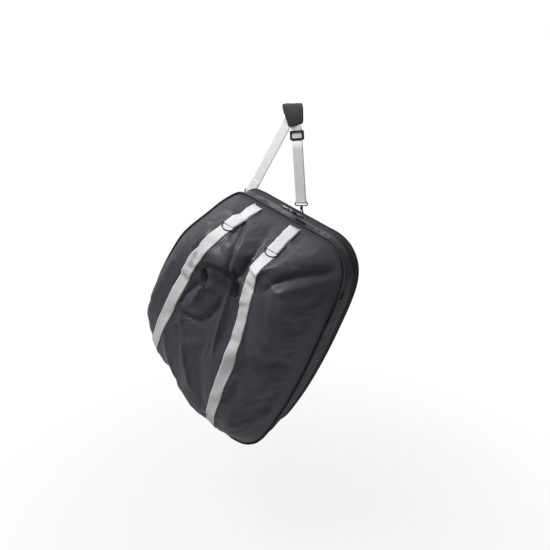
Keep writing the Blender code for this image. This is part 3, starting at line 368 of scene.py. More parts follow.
def make_cloth_panel(centre_shares, rise_shares, seam, crown_line, facing, rings, dress, pins):
    """Disc of cloth spun from one row of points and laid over the load, in the bag frame."""
    bm = bmesh.new()
    row = [bm.verts.new((step / rings, 0, 0)) for step in range(rings + 1)]
    spokes = [bm.edges.new(pair) for pair in zip(row, row[1:])]
    bmesh.ops.spin(bm, geom=row + spokes, cent=(0, 0, 0), axis=(0, 0, 1), angle=2 * math.pi,
                   steps=COUNT, use_merge=True)
    bmesh.ops.remove_doubles(bm, verts=bm.verts, dist=1e-5)
    fine = np.linspace(0, 1, 201)
    outs = [out for out, rise in reversed(rise_shares)]
    rises = [rise for out, rise in reversed(rise_shares)]
    rise_at = np.interp(fine, outs, rises)
    padded_rise = np.concatenate([np.full(10, rise_at[0]), rise_at, 2 * rise_at[-1] - rise_at[-2:-12:-1]])
    rise_at = np.convolve(padded_rise, np.ones(21) / 21, "valid")
    centre = in_plan(centre_shares)
    data = []
    for vert in bm.verts:
        out = min(vert.co.length, 1.0)
        turn = math.atan2(vert.co.y, vert.co.x) % (2 * math.pi)
        index = round(turn / (2 * math.pi) * COUNT) % COUNT
        flat = centre.lerp(OUTLINE[index], out)
        depth = seam(index) + (crown_line - seam(index)) * float(np.interp(out, fine, rise_at))
        data.append((flat.x, flat.z, depth, out, ARC[index]))
    data = np.array(data)
    rim_fade = ease(np.clip((1 - data[:, 3]) / RIM_WIDTH, 0, 1))
    height = dress_cloth(data, rim_fade, *dress)
    for x, z, depth, reach in pins:
        away = np.linalg.norm(data[:, :2] - np.array((x, z)), axis=1)
        near = np.argmin(away)
        lack = (depth - data[near, 2]) * facing - height[near]
        height = height + lack * np.exp(-(away / reach) ** 2) * rim_fade
    layer = bm.loops.layers.uv.new("cloth")
    out_share = bm.verts.layers.float.new("out_share")
    for vert, row_data, lift in zip(bm.verts, data, height):
        vert.co = (row_data[0], row_data[2] + facing * lift, row_data[1])
        vert[out_share] = row_data[3]
    for face in bm.faces:
        for loop in face.loops:
            loop[layer].uv = (loop.vert.co.x, loop.vert.co.z)
    bm.normal_update()
    middle = min(bm.faces, key=lambda face: (face.calc_center_median() - centre).length)
    if middle.normal.y * facing < 0:
        bmesh.ops.reverse_faces(bm, faces=bm.faces)
    return bm


FRONT_CENTRE_SHARES = (-0.06, 0.19)
FRONT_RISE_SHARES = ((1.0, 0.0), (0.95, 0.22), (0.86, 0.55), (0.75, 0.88), (0.55, 1.0), (0.0, 1.0))
FRONT_CREASES = (
    (-16, 15, -99, 401, -76, 391, -53, 381, -30, 366, -10, 345, 2, 310, 10, 270, 14, 230),
    (13, 26, -45, 390, -20, 378, -2, 350, 9, 310, 15, 270, 20, 240),
    (5, 12, -62, 385, -50, 393, -32, 399, -13, 400, 11, 394, 30, 383),
    (-14, 22, 30, 390, 44, 372, 52, 353, 57, 333, 55, 312, 48, 270, 36, 235),
    (14, 34, 85, 300, 105, 318, 125, 342, 145, 359, 171, 375, 198, 385, 240, 392, 290, 385),
    (-18, 17, 150, 276, 167, 302, 184, 322, 204, 339, 228, 352, 258, 362, 318, 372),
    (6, 20, 150, 262, 172, 285, 195, 303, 222, 320, 252, 336, 285, 347, 318, 352),
    (15, 62, 322, 325, 303, 295, 285, 276, 262, 264, 238, 264, 205, 264, 160, 250),
    (5.5, 15, 60, 322, 82, 314, 112, 306),
    (-5, 11, 60, 262, 95, 257, 135, 250),
    (-4, 7, 105, 425, 129, 407, 146, 395),
    (4, 8, 150, 427, 146, 405),
    (-4, 7, 175, 427, 182, 400),
    (4, 8, 210, 424, 200, 395),
    (6, 10, 36, 216, 37, 157, 40, 92, 45, 26, 57, -38),
    (2.5, 16, 47, 203, 65, 200, 85, 196),
    (4, 15, 49, 217, 70, 242, 79, 261),
    (-8, 11, -60, 216, -77, 179, -98, 133, -115, 96, -120, 51),
    (8, 13, -42, 210, -58, 165, -70, 117, -78, 85),
    (-10, 18, -107, 35, -77, 26, -37, 41, -6, 79, 11, 131, 21, 181),
    (6, 13, -125, 55, -99, 0, -72, -55, -43, -110, -12, -165, 22, -221),
    (-7, 30, -7, 19, 9, -73, 41, -165, 82, -259),
    (7, 30, 278, 261, 291, 193, 291, 119, 293, 49, 301, -19),
    (-7, 35, 300, 34, 259, 46, 230, 22, 210, -27),
    (6, 22, 315, -60, 302, -170, 259, -252),
    (-7, 18, 274, -58, 274, -141, 276, -233, 270, -317),
    (5, 14, 286, -3, 294, -99, 297, -187, 280, -260),
    (6, 18, -142, 285, -128, 251, -130, 207),
    (-5, 12, -123, 290, -111, 262, -115, 228),
    (5, 20, -112, 355, -110, 326, -129, 293, -162, 243),
    (5, 12, 120, 338, 108, 311, 123, 296, 160, 293, 210, 296),
    (-5, 22, 322, 200, 318, 84, 310, 0),
    (5, 20, -160, -50, -120, -140, -70, -220, -30, -300),
    (-5, 28, 130, 190, 150, 80, 170, -30, 170, -150, 160, -280),
    (6, 20, -200, 200, -215, 100, -235, 10, -250, -80),
    (-6, 14, -235, 150, -250, 50, -260, -50),
)
FRONT_BULGES = (
    (10, 55, 190, 368),
    (9, 50, -45, 85),
    (10, 65, -20, 240),
    (9, 85, 220, 160),
    (6, 100, 20, -130),
    (8, 70, 200, -300),
    (6, 80, -200, 50),
    (6, 45, 50, 390),
    (-6, 75, 180, -60),
)
FRONT_WAVES = ((0.0042, 0.085, 3.1), (0.0016, 0.032, 7.7))
FRONT_PUCKER = 0.0032
FRONT_STILL = ((0.0964, 0.365, 0.032), (-0.074, 0.365, 0.024), (-0.072, 0.195, 0.030), (0.044, 0.225, 0.030))
FRONT_PINS = ((0.0964, 0.3694, -0.1292, 0.045), (-0.074, 0.3694, -0.1292, 0.045))
FRONT_RINGS = 76
FRONT_SLACK = 0.032
SETTLE_FRAMES = 24
SETTLE_MOST = 0.008
SEAM_HOLD = 0.94
SEAM_FADE = 0.06
MIDDLE_HOLD = 0.10
CLOTH_NATURE = {"quality": 6, "mass": 0.25, "tension_stiffness": 12, "compression_stiffness": 12,
                "shear_stiffness": 4, "bending_stiffness": 0.35}


def relax(bm, slack, still):
    """Lets slack cloth buckle by simulation, held at its seam, its middle and where things are sewn on."""
    mesh = bpy.data.meshes.new("slack_cloth")
    bm.to_mesh(mesh)
    sheet = bpy.data.objects.new("slack_cloth", mesh)
    scene.collection.objects.link(sheet)
    sewn = sheet.vertex_groups.new(name="sewn")
    out_share = bm.verts.layers.float["out_share"]
    for index, vert in enumerate(bm.verts):
        out = vert[out_share]
        free = min(max((SEAM_HOLD - out) / SEAM_FADE, 0), 1)
        free *= min(max((out - MIDDLE_HOLD) / MIDDLE_HOLD, 0), 1)
        for x, z, reach in still:
            free *= 1 - math.exp(-(math.hypot(vert.co.x - x, vert.co.z - z) / reach) ** 4)
        sewn.add([index], 1 - free, "REPLACE")
    cloth = sheet.modifiers.new("cloth", "CLOTH")
    settings = cloth.settings
    settings.vertex_group_mass = "sewn"
    for key, value in CLOTH_NATURE.items():
        setattr(settings, key, value)
    settings.shrink_min = -slack
    settings.shrink_max = -slack
    settings.effector_weights.gravity = 0
    cloth.collision_settings.use_collision = False
    cloth.point_cache.frame_start = 1
    cloth.point_cache.frame_end = SETTLE_FRAMES
    for number in range(1, SETTLE_FRAMES + 1):
        scene.frame_set(number)
    held = sheet.evaluated_get(bpy.context.evaluated_depsgraph_get())
    for vert, settled in zip(bm.verts, held.data.vertices):
        move = settled.co - vert.co
        if move.length > 1e-7:
            vert.co += move.normalized() * SETTLE_MOST * math.tanh(move.length / SETTLE_MOST)
    scene.frame_set(1)
    bpy.data.objects.remove(sheet)
    bpy.data.meshes.remove(mesh)
    bm.normal_update()


front_bm = make_cloth_panel(
    FRONT_CENTRE_SHARES, FRONT_RISE_SHARES, front_seam, FRONT_CROWN_LINE, -1, FRONT_RINGS,
    (FRONT_CREASES, FRONT_BULGES, FRONT_WAVES, FRONT_PUCKER, FRONT_STILL), FRONT_PINS)
relax(front_bm, FRONT_SLACK, FRONT_STILL)
front_skin = BVHTree.FromBMesh(front_bm)
bmesh.ops.transform(front_bm, matrix=BAG, verts=front_bm.verts)


def new_group(name, inputs, output):
    """Node group with its way in, and its way out named after its one output."""
    group = bpy.data.node_groups.new(name, "ShaderNodeTree")
    for socket, kind in inputs:
        group.interface.new_socket(socket, in_out="INPUT", socket_type="NodeSocket" + kind)
    group.interface.new_socket(output, in_out="OUTPUT", socket_type="NodeSocketFloat")
    return group, group.nodes.new("NodeGroupInput").outputs, group.nodes.new("NodeGroupOutput").inputs[output]


def make_weave_group():
    """Plain weave: threads over and under each other, as a height."""
    group, given, height = new_group(
        "plain_weave", (("Vector", "Vector"), ("Across", "Float"), ("Along", "Float")), "Height")
    split = add_node(group, "SeparateXYZ", {0: given["Vector"]}).outputs
    waves = []
    for axis, threads in ((0, "Across"), (1, "Along")):
        turns = math_node(group, "MULTIPLY", split[axis], given[threads])
        waves.append(math_node(group, "SINE", math_node(group, "MULTIPLY", turns, 2 * math.pi)))
    product = math_node(group, "MULTIPLY", *waves)
    group.links.new(math_node(group, "MULTIPLY_ADD", product, 0.5, 0.5), height)
    return group


def make_worn_group():
    """Slow unevenness of dye and handling, from two sizes of noise."""
    group, given, value = new_group("handled_tone", (("Vector", "Vector"), ("Scale", "Float")), "Value")
    broad = add_node(group, "TexNoise", {"Detail": 4.0, "Vector": given["Vector"], "Scale": given["Scale"]})
    fine = add_node(group, "TexNoise", {"Detail": 2.0, "Vector": given["Vector"],
                                        "Scale": math_node(group, "MULTIPLY", given["Scale"], 9.0)})
    mixed = math_node(group, "MULTIPLY_ADD", fine.outputs["Fac"], 0.3,
                      math_node(group, "MULTIPLY", broad.outputs["Fac"], 0.7))
    group.links.new(mixed, value)
    return group


weave_group = make_weave_group()
worn_group = make_worn_group()


def new_finish(name, where_node, where_socket, tone_scale, **settings):
    """New material with its shader, the place on its surface and its worn unevenness."""
    finish = bpy.data.materials.new(name)
    tree = new_nodes(finish)
    shader = add_node(tree, "BsdfPrincipled")
    add_node(tree, "OutputMaterial", {"Surface": shader.outputs[0]})
    where = add_node(tree, where_node, **settings).outputs[where_socket]
    worn = add_node(tree, "Group", {"Scale": tone_scale, "Vector": where}, node_tree=worn_group)
    return finish, tree, shader, where, worn.outputs["Value"]


def set_shader(tree, shader, tone, worn, rough, spread, normal, **values):
    """Links a finish's tone, uneven gloss and bump, and sets its other values."""
    tree.links.new(tone, shader.inputs["Base Color"])
    gloss = math_node(tree, "MULTIPLY_ADD", worn, spread, rough - spread / 2)
    tree.links.new(gloss, shader.inputs["Roughness"])
    tree.links.new(normal.outputs["Normal"], shader.inputs["Normal"])
    for key, value in values.items():
        shader.inputs[key.replace("_", " ")].default_value = value


def woven(name, dark, light, rough, threads, depth, sheen=0.0, tone_scale=9.0, mapped=True, crumple=0.0):
    """Woven cloth finish: two close tones, threads as bump, and uneven gloss."""
    if mapped:
        finish, tree, shader, where, worn = new_finish(name, "UVMap", "UV", tone_scale, uv_map="cloth")
    else:
        finish, tree, shader, where, worn = new_finish(name, "TexCoord", "Object", tone_scale)
    weave = add_node(tree, "Group", {"Across": threads[0], "Along": threads[1], "Vector": where},
                     node_tree=weave_group).outputs["Height"]
    share = math_node(tree, "MULTIPLY_ADD", weave, 0.35, math_node(tree, "MULTIPLY", worn, 0.65))
    bump = add_node(tree, "Bump", {"Strength": 0.5, "Distance": depth, "Height": weave})
    if crumple:
        wrinkle = add_node(tree, "TexNoise", {
            "Scale": 26.0, "Detail": 5.0, "Roughness": 0.55, "Vector": where})
        soft = add_node(tree, "Bump", {
            "Strength": 0.6, "Distance": crumple, "Height": wrinkle.outputs["Fac"]})
        tree.links.new(soft.outputs["Normal"], bump.inputs["Normal"])
    set_shader(tree, shader, tone_node(tree, share, (*dark, 1), (*light, 1)), worn, rough, 0.16, bump,
               Sheen_Weight=sheen, Sheen_Roughness=0.45)
    return finish


polyester = woven("polyester_cloth", (0.036, 0.034, 0.044), (0.065, 0.061, 0.080), 0.50, (1400, 1400), 0.0001,
                  sheen=0.12, crumple=0.0018)


def thicken(piece, amount, offset=-1.0):
    """Gives a skin the thickness of its cloth."""
    solid = piece.modifiers.new("thickness", "SOLIDIFY")
    solid.thickness = amount
    solid.offset = offset
    return piece


def settle(piece):
    """Puts a piece's modifiers into its mesh for good."""
    bpy.context.view_layer.update()
    held = piece.evaluated_get(bpy.context.evaluated_depsgraph_get())
    mesh = bpy.data.meshes.new_from_object(held)
    piece.modifiers.clear()
    piece.data = mesh
    return piece


def fit(piece, node, body):
    """Lets a piece ride on a body, and stand for a CAD node if it has one."""
    if node:
        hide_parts(node)
    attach(piece, body)


front_cloth = thicken(place("front_cloth", front_bm, polyester), CLOTH)
fit(front_cloth, "front_panel", "lid")

# Back panel: the flatter sheet of coated polyester at the back of the bag. It is cut to the same outline,
# sewn into the same kind of piping, and only lightly creased.
BACK_CENTRE_SHARES = (0.0, 0.0)
BACK_RISE_SHARES = ((1.0, 0.0), (0.93, 0.36), (0.86, 0.7), (0.78, 0.95), (0.66, 1.0), (0.0, 1.0))
BACK_CREASES = (
    (-5, 20, -195, 300, -150, 200, -120, 80, -100, -50),
    (5, 24, 50, 360, 0, 250, -30, 100, -20, -50),
    (5, 18, -180, 290, -80, 330, 40, 370),
    (-4, 26, 160, 300, 200, 150, 190, 0, 160, -150),
    (4, 22, -220, 0, -130, -120, -50, -250),
    (4, 20, 220, -80, 180, -220, 140, -320),
)
BACK_BULGES = (
    (4, 100, 100, 50),
    (-4, 90, -120, 100),
    (4, 90, 20, -220),
)
BACK_WAVES = ((0.0030, 0.09, 11.3), (0.0012, 0.035, 2.9))
BACK_STILL = ((-0.195, 0.327, 0.040), (0.049, 0.395, 0.040))
BACK_PINS = ((-0.1952, 0.3267, 0.1204, 0.035), (0.0492, 0.395, 0.1210, 0.035))
BACK_RINGS = 60
BACK_SLACK = 0.016

back_bm = make_cloth_panel(
    BACK_CENTRE_SHARES, BACK_RISE_SHARES, back_seam, BACK_CROWN_LINE, 1, BACK_RINGS,
    (BACK_CREASES, BACK_BULGES, BACK_WAVES, 0.0, BACK_STILL), BACK_PINS)
relax(back_bm, BACK_SLACK, BACK_STILL)
back_skin = BVHTree.FromBMesh(back_bm)
bmesh.ops.transform(back_bm, matrix=BAG, verts=back_bm.verts)
back_cloth = thicken(place("back_cloth", back_bm, polyester), CLOTH)
fit(back_cloth, "back_panel", "back_shell")

# Side walls: strips of the same cloth between each seam and the zip, its colour darkened as painted shade.
# The lid's wall is slack, and it is gathered along the top on the right, where the seam is drawn back.
# Wall finish: the panel polyester with a darker colour that is painted shade, less sheen and rougher.
painted_shade_wall_cloth = woven("painted_shade_wall_cloth", (0.022, 0.021, 0.026), (0.040, 0.038, 0.048), 0.66, (1400, 1400), 0.0001,
                   sheen=0.04, crumple=0.0007)
ZIP_HALF = 0.014
WALL_ROWS = 14
GATHER_MIDDLE = Vector((0.20, 0, 0.41))
GATHER_REACH = 0.12
GATHER_PITCH = 0.0085
GATHER_RISE = 0.0042
WAVE_PITCH = 0.030


def cloth_grid(x_steps, y_steps, at):
    """Grid of cloth. A function of two step numbers gives each point's place, and its place on the map."""
    bm = bmesh.new()
    bmesh.ops.create_grid(bm, x_segments=x_steps, y_segments=y_steps, size=1.0)
    layer = bm.loops.layers.uv.new("cloth")
    spots = {}
    for vert in bm.verts:
        steps = (round((vert.co.x + 1) / 2 * x_steps), round((vert.co.y + 1) / 2 * y_steps))
        vert.co, spots[vert] = at(*steps)
    for face in bm.faces:
        for loop in face.loops:
            loop[layer].uv = spots[loop.vert]
    bm.normal_update()
    return bm


def strip_along(indices, columns, at, turned=False):
    """Strip of cloth along the outline, placed by a function of outline index and column share."""
    def spot(step, column):
        index = indices[step]
        co = at(index, column / columns)
        return co, (co.y, ARC[index % COUNT] + (ARC[-1] if index >= COUNT else 0))

    bm = cloth_grid(len(indices) - 1, columns, spot)
    bmesh.ops.remove_doubles(bm, verts=bm.verts, dist=1e-6)
    if turned:
        bmesh.ops.reverse_faces(bm, faces=bm.faces)
    bm.normal_update()
    bmesh.ops.transform(bm, matrix=BAG, verts=bm.verts)
    return bm


def wall_point(low, high, slack, seed):
    """Placing function of a side wall between two depths, with a belly and cross wrinkles."""
    def at(index, share):
        depth = low(index) + (high - low(index)) * share
        swell = math.sin(math.pi * share)
        arc = ARC[index % COUNT]
        gather = math.exp(-((OUTLINE[index % COUNT] - GATHER_MIDDLE).length / GATHER_REACH) ** 2)
        wave = noise.noise(Vector((arc / WAVE_PITCH + seed, share * 1.4, seed)))
        tight = noise.noise(Vector((arc / GATHER_PITCH + seed, share * 0.8, seed + 4)))
        lift = swell * slack * (0.6 + 1.1 * wave) + GATHER_RISE * gather * swell ** 0.6 * tight
        return on_outline(index, lift, depth)
    return at


for side, low, high, rows, slack, seed, body in (
        ("front", lambda i: front_seam(i) + GAP, ZIP_LINE - ZIP_HALF, WALL_ROWS, 0.0045, 2.0, "lid"),
        ("back", lambda i: BACK_SEAM - GAP, ZIP_LINE + ZIP_HALF, 4, 0.0012, 6.0, "back_shell")):
    wall_bm = strip_along(range(COUNT + 1), rows, wall_point(low, high, slack, seed), side == "back")
    wall = thicken(place(side + "_side_wall", wall_bm, painted_shade_wall_cloth), CLOTH)
    fit(wall, side + "_gusset", body)

# Cloth hinge: the fourth side has no zip, only a strip of the same coated polyester, darkened as painted
# shade like the walls. It is sewn to both walls and folds when the lid opens.
hinge_indices = list(range(HINGE_FIRST * FINE, COUNT + 1))


def hinge_point(index, share):
    """Placing function of the cloth hinge, a little slack in its middle."""
    depth = ZIP_LINE - ZIP_HALF + GAP + 2 * (ZIP_HALF - GAP) * share
    ends = min(index - hinge_indices[0], hinge_indices[-1] - index)
    point = on_outline(index, -0.0008 * math.sin(math.pi * share), depth)
    if ends == 0:
        point.x += GAP if index == hinge_indices[0] else -GAP
    return point


# The hinge takes the walls' finish, whose darker colour is painted shade.
hinge_cloth = thicken(place("hinge_cloth", strip_along(hinge_indices, 6, hinge_point), painted_shade_wall_cloth), CLOTH)
hinge_cloth = settle(hinge_cloth)
hinge_middle = hinge_indices[len(hinge_indices) // 2]
hinge_back = BAG @ on_outline(hinge_middle, 0, ZIP_LINE + ZIP_HALF / 2)
hinge_front = BAG @ on_outline(hinge_middle, 0, ZIP_LINE - ZIP_HALF)
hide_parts("hinge_strip")
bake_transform(hinge_cloth, "back_shell", "lid", start=tuple(hinge_back), end=tuple(hinge_front))

# Piping: a round cord wrapped in black woven tape. It is sewn into each seam between a panel and its
# side wall.
PIPING_RADIUS = 0.0033


def tube(name, points, radius, finish, closed=False, sides=3):
    """Round tube along points, in world metres, as a mesh."""
    curve = bpy.data.curves.new(name, "CURVE")
    curve.dimensions = "3D"
    curve.bevel_depth = radius
    curve.bevel_resolution = sides
    curve.use_fill_caps = not closed
    line = curve.splines.new("POLY")
    line.points.add(len(points) - 1)
    for slot_point, point in zip(line.points, points):
        slot_point.co = (*point, 1)
    line.use_cyclic_u = closed
    holder = bpy.data.objects.new(name + "_line", curve)
    scene.collection.objects.link(holder)
    bpy.context.view_layer.update()
    mesh = bpy.data.meshes.new_from_object(holder)
    bpy.data.objects.remove(holder)
    bpy.data.curves.remove(curve)
    mesh.name = name
    mesh.materials.clear()
    mesh.materials.append(finish)
    for face in mesh.polygons:
        face.use_smooth = True
    piece = bpy.data.objects.new(name, mesh)
    scene.collection.objects.link(piece)
    return piece


piping_tape = woven("piping_tape", (0.014, 0.014, 0.016), (0.034, 0.033, 0.038), 0.60, (900, 900), 0.0002,
                    mapped=False, tone_scale=20.0)
for side, seam, body in (("front", front_seam, "lid"), ("back", back_seam, "back_shell")):
    run = [BAG @ on_outline(i, PIPING_RADIUS + GAP, seam(i)) for i in range(COUNT)]
    cord = tube(side + "_piping_cord", run, PIPING_RADIUS, piping_tape, closed=True, sides=4)
    fit(cord, side + "_piping", body)

# Zip: two woven tapes sewn to the side walls, and two rows of moulded plastic teeth that mesh along the
# middle between them.
TAPE_DROP = 0.0005
TAPE_THICKNESS = 0.0012
TAPE_NEAR = 0.0008
TOOTH_PITCH = 0.0034
TOOTH_LENGTH = 0.0036
TOOTH_NOSE = (0.44, 0.0013)
TOOTH_ROOT = (0.30, 0.0017)
TOOTH_STEPS = 4

zip_tape_cloth = woven("zip_tape_cloth", (0.008, 0.008, 0.010), (0.026, 0.026, 0.029), 0.75,
                       (1300, 650), 0.0002, tone_scale=16.0)
zip_indices = range(HINGE_FIRST * FINE + 1)


def tape_point(sign):
    """Placing function of a zip tape, from its wall's edge nearly to the middle line."""
    return lambda index, share: on_outline(
        index, -TAPE_DROP, ZIP_LINE + sign * (TAPE_NEAR + (ZIP_HALF - GAP - TAPE_NEAR) * (1 - share)))


for side, sign, body in (("front", -1, "lid"), ("back", 1, "back_shell")):
    tape_bm = strip_along(zip_indices, 4, tape_point(sign), sign > 0)
    tape = thicken(place(side + "_tape", tape_bm, zip_tape_cloth), TAPE_THICKNESS)
    fit(tape, side + "_zip_tape", body)


def moulded(name, dark, light, rough, metallic=0.0, scale=60.0, coat=0.0):
    """Moulded or painted finish with a slight mottle and fine grain."""
    finish, tree, shader, where, worn = new_finish(name, "TexCoord", "Object", scale)
    bump = add_node(tree, "Bump", {"Strength": 0.3, "Distance": 0.0001, "Height": worn})
    set_shader(tree, shader, tone_node(tree, worn, (*dark, 1), (*light, 1)), worn, rough, 0.2, bump,
               Metallic=metallic, Coat_Weight=coat)
    return finish


def lay_copies(name, shape, frames, finish):
    """One piece made of many copies of a small shape, one at each frame."""
    stamp = bpy.data.meshes.new(name + "_stamp")
    shape.to_mesh(stamp)
    shape.free()
    bm = bmesh.new()
    for turned in frames:
        first = len(bm.verts)
        bm.from_mesh(stamp)
        bm.verts.ensure_lookup_table()
        bmesh.ops.transform(bm, matrix=turned, verts=bm.verts[first:])
    bpy.data.meshes.remove(stamp)
    return place(name, bm, finish)


def frame_at(origin, x_axis, z_hint):
    """Frame at a point with its X along a direction and its Z as near as can be to another."""
    x_axis = x_axis.normalized()
    y_axis = z_hint.cross(x_axis).normalized()
    z_axis = x_axis.cross(y_axis)
    turned = Matrix((x_axis, y_axis, z_axis)).transposed().to_4x4()
    turned.translation = origin
    return turned


tooth_plastic = moulded("tooth_plastic", (0.006, 0.006, 0.007), (0.020, 0.020, 0.022), 0.5)
zip_run = [OUTLINE[i % COUNT] for i in zip_indices]
zip_length = sum((b - a).length for a, b in zip(zip_run, zip_run[1:]))
tooth_count = int(zip_length / TOOTH_PITCH)
for side, sign, body, shift in (("front", -1, "lid", 0.25), ("back", 1, "back_shell", 0.75)):
    tooth = bmesh.new()
    bmesh.ops.create_cube(tooth, size=1.0)
    for vert in tooth.verts:
        thick, tall = TOOTH_NOSE if vert.co.y * sign < 0 else TOOTH_ROOT
        vert.co = (vert.co.x * TOOTH_PITCH * thick, vert.co.y * TOOTH_LENGTH, vert.co.z * tall)
    bmesh.ops.bevel(tooth, geom=tooth.edges[:] + tooth.verts[:], offset=0.00025, segments=1, profile=0.5,
                    affect="EDGES", material=-1)
    stations = resample(zip_run, tooth_count * TOOTH_STEPS)
    frames = []
    for number in range(tooth_count):
        station = min(int((number + shift) * TOOTH_STEPS), len(stations) - 2)
        at = stations[station]
        along = (stations[station + 1] - at).normalized()
        out = Vector((along.z, 0, -along.x))
        centre = Vector((at.x, ZIP_LINE + sign * 0.0010, at.z)) - out * 0.0001
        frames.append(BAG @ frame_at(centre, along, out))
    fit(lay_copies(side + "_teeth", tooth, frames, tooth_plastic), side + "_zip_teeth", body)

# Light straps: flat woven webbing laid over the cloth, two on each panel. Each is sewn down along both
# edges with light thread.
WEBBING_WIDTH = 0.038
WEBBING = 0.0017
STRAP_COLUMNS = 8
STRAP_FINE = 48
EDGE_MARGIN = 0.009
SEAM_SHARES = (0.07, 0.93)
STITCH_LIFT = 0.0001
STRAP_LINES = {
    "front_strap_right": ((0.26, 1.02), (0.295, 0.86), (0.285, 0.68), (0.345, 0.2), (0.363, -0.5),
                          (0.36, -1.02)),
    "front_strap_left": ((-0.17, 1.02), (-0.266, 0.76), (-0.373, 0.52), (-0.42, 0.36), (-0.482, 0.04),
                         (-0.55, -0.29), (-0.63, -0.72)),
    "back_strap_right": ((0.15, 0.96), (0.16, -0.2), (0.18, -1.02)),
    "back_strap_left": ((-0.60, 0.80), (-0.52, 0.1), (-0.43, -0.8)),
}
light_webbing = woven("light_webbing_cloth", (0.62, 0.61, 0.61), (0.82, 0.81, 0.81), 0.62, (420, 520), 0.0005,
                      sheen=0.1, tone_scale=30.0)
light_thread = woven("light_thread", (0.62, 0.61, 0.60), (0.86, 0.85, 0.84), 0.5, (2000, 2000), 0.0001,
                     mapped=False)
dark_thread = woven("dark_thread", (0.010, 0.010, 0.011), (0.030, 0.030, 0.034), 0.5, (2000, 2000), 0.0001,
                    mapped=False)


def plan_curve(pairs, fine=14):
    """Smooth curve through points of the plan."""
    pins = [in_plan(pair) for pair in pairs]
    return spline(pins, 2 * pins[0] - pins[1], 2 * pins[-1] - pins[-2], fine)


def on_skin(skin, facing, x, z):
    """Point and outward normal of a panel's cloth straight in front of, or behind, a plan point."""
    hit, normal = skin.ray_cast(Vector((x, facing * HALF_HEIGHT, z)), Vector((0, -facing, 0)))[:2]
    if hit is None:
        return None, None
    if normal.y * facing < 0:
        normal = -normal
    return hit, normal


def inside_outline(x, z, margin):
    """True where a plan point is inside the outline by more than a margin."""
    best = min(range(0, COUNT, 2), key=lambda i: (OUTLINE[i].x - x) ** 2 + (OUTLINE[i].z - z) ** 2)
    away = (Vector((x, 0, z)) - OUTLINE[best]).dot(OUTWARD[best])
    return away < -margin


def flattened(line, facing):
    """Row across a strap made nearly straight, as webbing bridges creases, and kept clear of the cloth."""
    ends = [line[0].lerp(line[-1], column / STRAP_COLUMNS) for column in range(STRAP_COLUMNS + 1)]
    rises = [(spot.y - plain.y) * facing for spot, plain in zip(line, ends)]
    most = max(rises)
    return [plain + Vector((0, facing * (0.5 * rise + 0.5 * most), 0)) for plain, rise in zip(ends, rises)]


def over_neighbours(values, combine):
    """Each row of values combined with the two rows on either side of it."""
    last = len(values) - 1
    return np.array([combine([values[min(max(index + step, 0), last)] for step in range(-2, 3)], axis=0)
                     for index in range(last + 1)])


def eased(rows, facing):
    """Rows of a strap smoothed along its length and never brought closer to the cloth."""
    heights = np.array([[spot.y * facing for spot in row] for row in rows])
    smooth = over_neighbours(heights, np.mean)
    lift = over_neighbours(over_neighbours(heights - smooth, np.max), np.mean)
    return [[Vector((spot.x, facing * height, spot.z)) for spot, height in zip(row, line)]
            for row, line in zip(rows, smooth + lift)]


def lengths_of(points):
    """Length along a row of points at each point."""
    found = [0.0]
    for first, second in zip(points, points[1:]):
        found.append(found[-1] + (second - first).length)
    return found


def webbing_grid(rows, width):
    """Webbing through rows of points, with its map in metres."""
    columns = len(rows[0]) - 1
    lengths = lengths_of([row[columns // 2] for row in rows])
    return cloth_grid(columns, len(rows) - 1,
                      lambda column, row: (rows[row][column], (column / columns * width, lengths[row])))


def webbing_piece(name, rows, width, thickness, finish, turned=BAG):
    """Piece of webbing through rows of points, with half its thickness on each side of them."""
    bm = webbing_grid(rows, width)
    bmesh.ops.recalc_face_normals(bm, faces=bm.faces)
    bmesh.ops.transform(bm, matrix=turned, verts=bm.verts)
    return thicken(place(name, bm, finish), thickness, 0.0)


def cloth_row(middle, across, width, skin, facing, lift):
    """Row of points across a strap, lifted off the cloth, or None where it runs off the cloth."""
    row = []
    for column in range(STRAP_COLUMNS + 1):
        spot = middle + across * (width * (column / STRAP_COLUMNS - 0.5))
        hit, normal = on_skin(skin, facing, spot.x, spot.z)
        if hit is None:
            return None
        row.append(hit + normal * lift)
    return row


def strap_on_panel(name, pairs, skin, facing):
    """Webbing that follows the creased cloth below it; also returns its rows for the stitching."""
    curve = [point for point in plan_curve(pairs, STRAP_FINE)
             if inside_outline(point.x, point.z, EDGE_MARGIN)]
    rows = []
    for point, along in zip(curve, tangents(curve, False)):
        side = Vector((-along.z, 0, along.x)) * facing
        row = cloth_row(point, side, WEBBING_WIDTH, skin, facing, GAP + WEBBING)
        if row is not None:
            rows.append(flattened(row, facing))
    rows = eased(rows, facing)
    bm = webbing_grid(rows, WEBBING_WIDTH)
    if bm.faces[:][len(bm.faces) // 2].normal.y * facing < 0:
        bmesh.ops.reverse_faces(bm, faces=bm.faces)
    bmesh.ops.transform(bm, matrix=BAG, verts=bm.verts)
    return thicken(place(name, bm, light_webbing), WEBBING), rows


def stitch_row(name, points, normals, finish, pitch=0.0042, length=0.0030, thick=0.00055):
    """Row of thread stitches along points, each lying on the cloth."""
    stitch = bmesh.new()
    bmesh.ops.create_uvsphere(stitch, u_segments=6, v_segments=4, radius=1.0)
    bmesh.ops.rotate(stitch, verts=stitch.verts, cent=(0, 0, 0), matrix=Matrix.Rotation(math.pi / 2, 3, "Y"))
    bmesh.ops.scale(stitch, verts=stitch.verts, vec=(length / 2, thick, thick * 0.8))
    total = lengths_of(points)
    frames = []
    index = 0
    for number in range(int(total[-1] / pitch)):
        target = (number + 0.5) * pitch
        while index < len(total) - 2 and total[index + 1] < target:
            index += 1
        share = (target - total[index]) / max(total[index + 1] - total[index], 1e-9)
        at = points[index].lerp(points[index + 1], share)
        along = points[index + 1] - points[index]
        frames.append(BAG @ frame_at(at, along, normals[index]))
    return lay_copies(name, stitch, frames, finish)


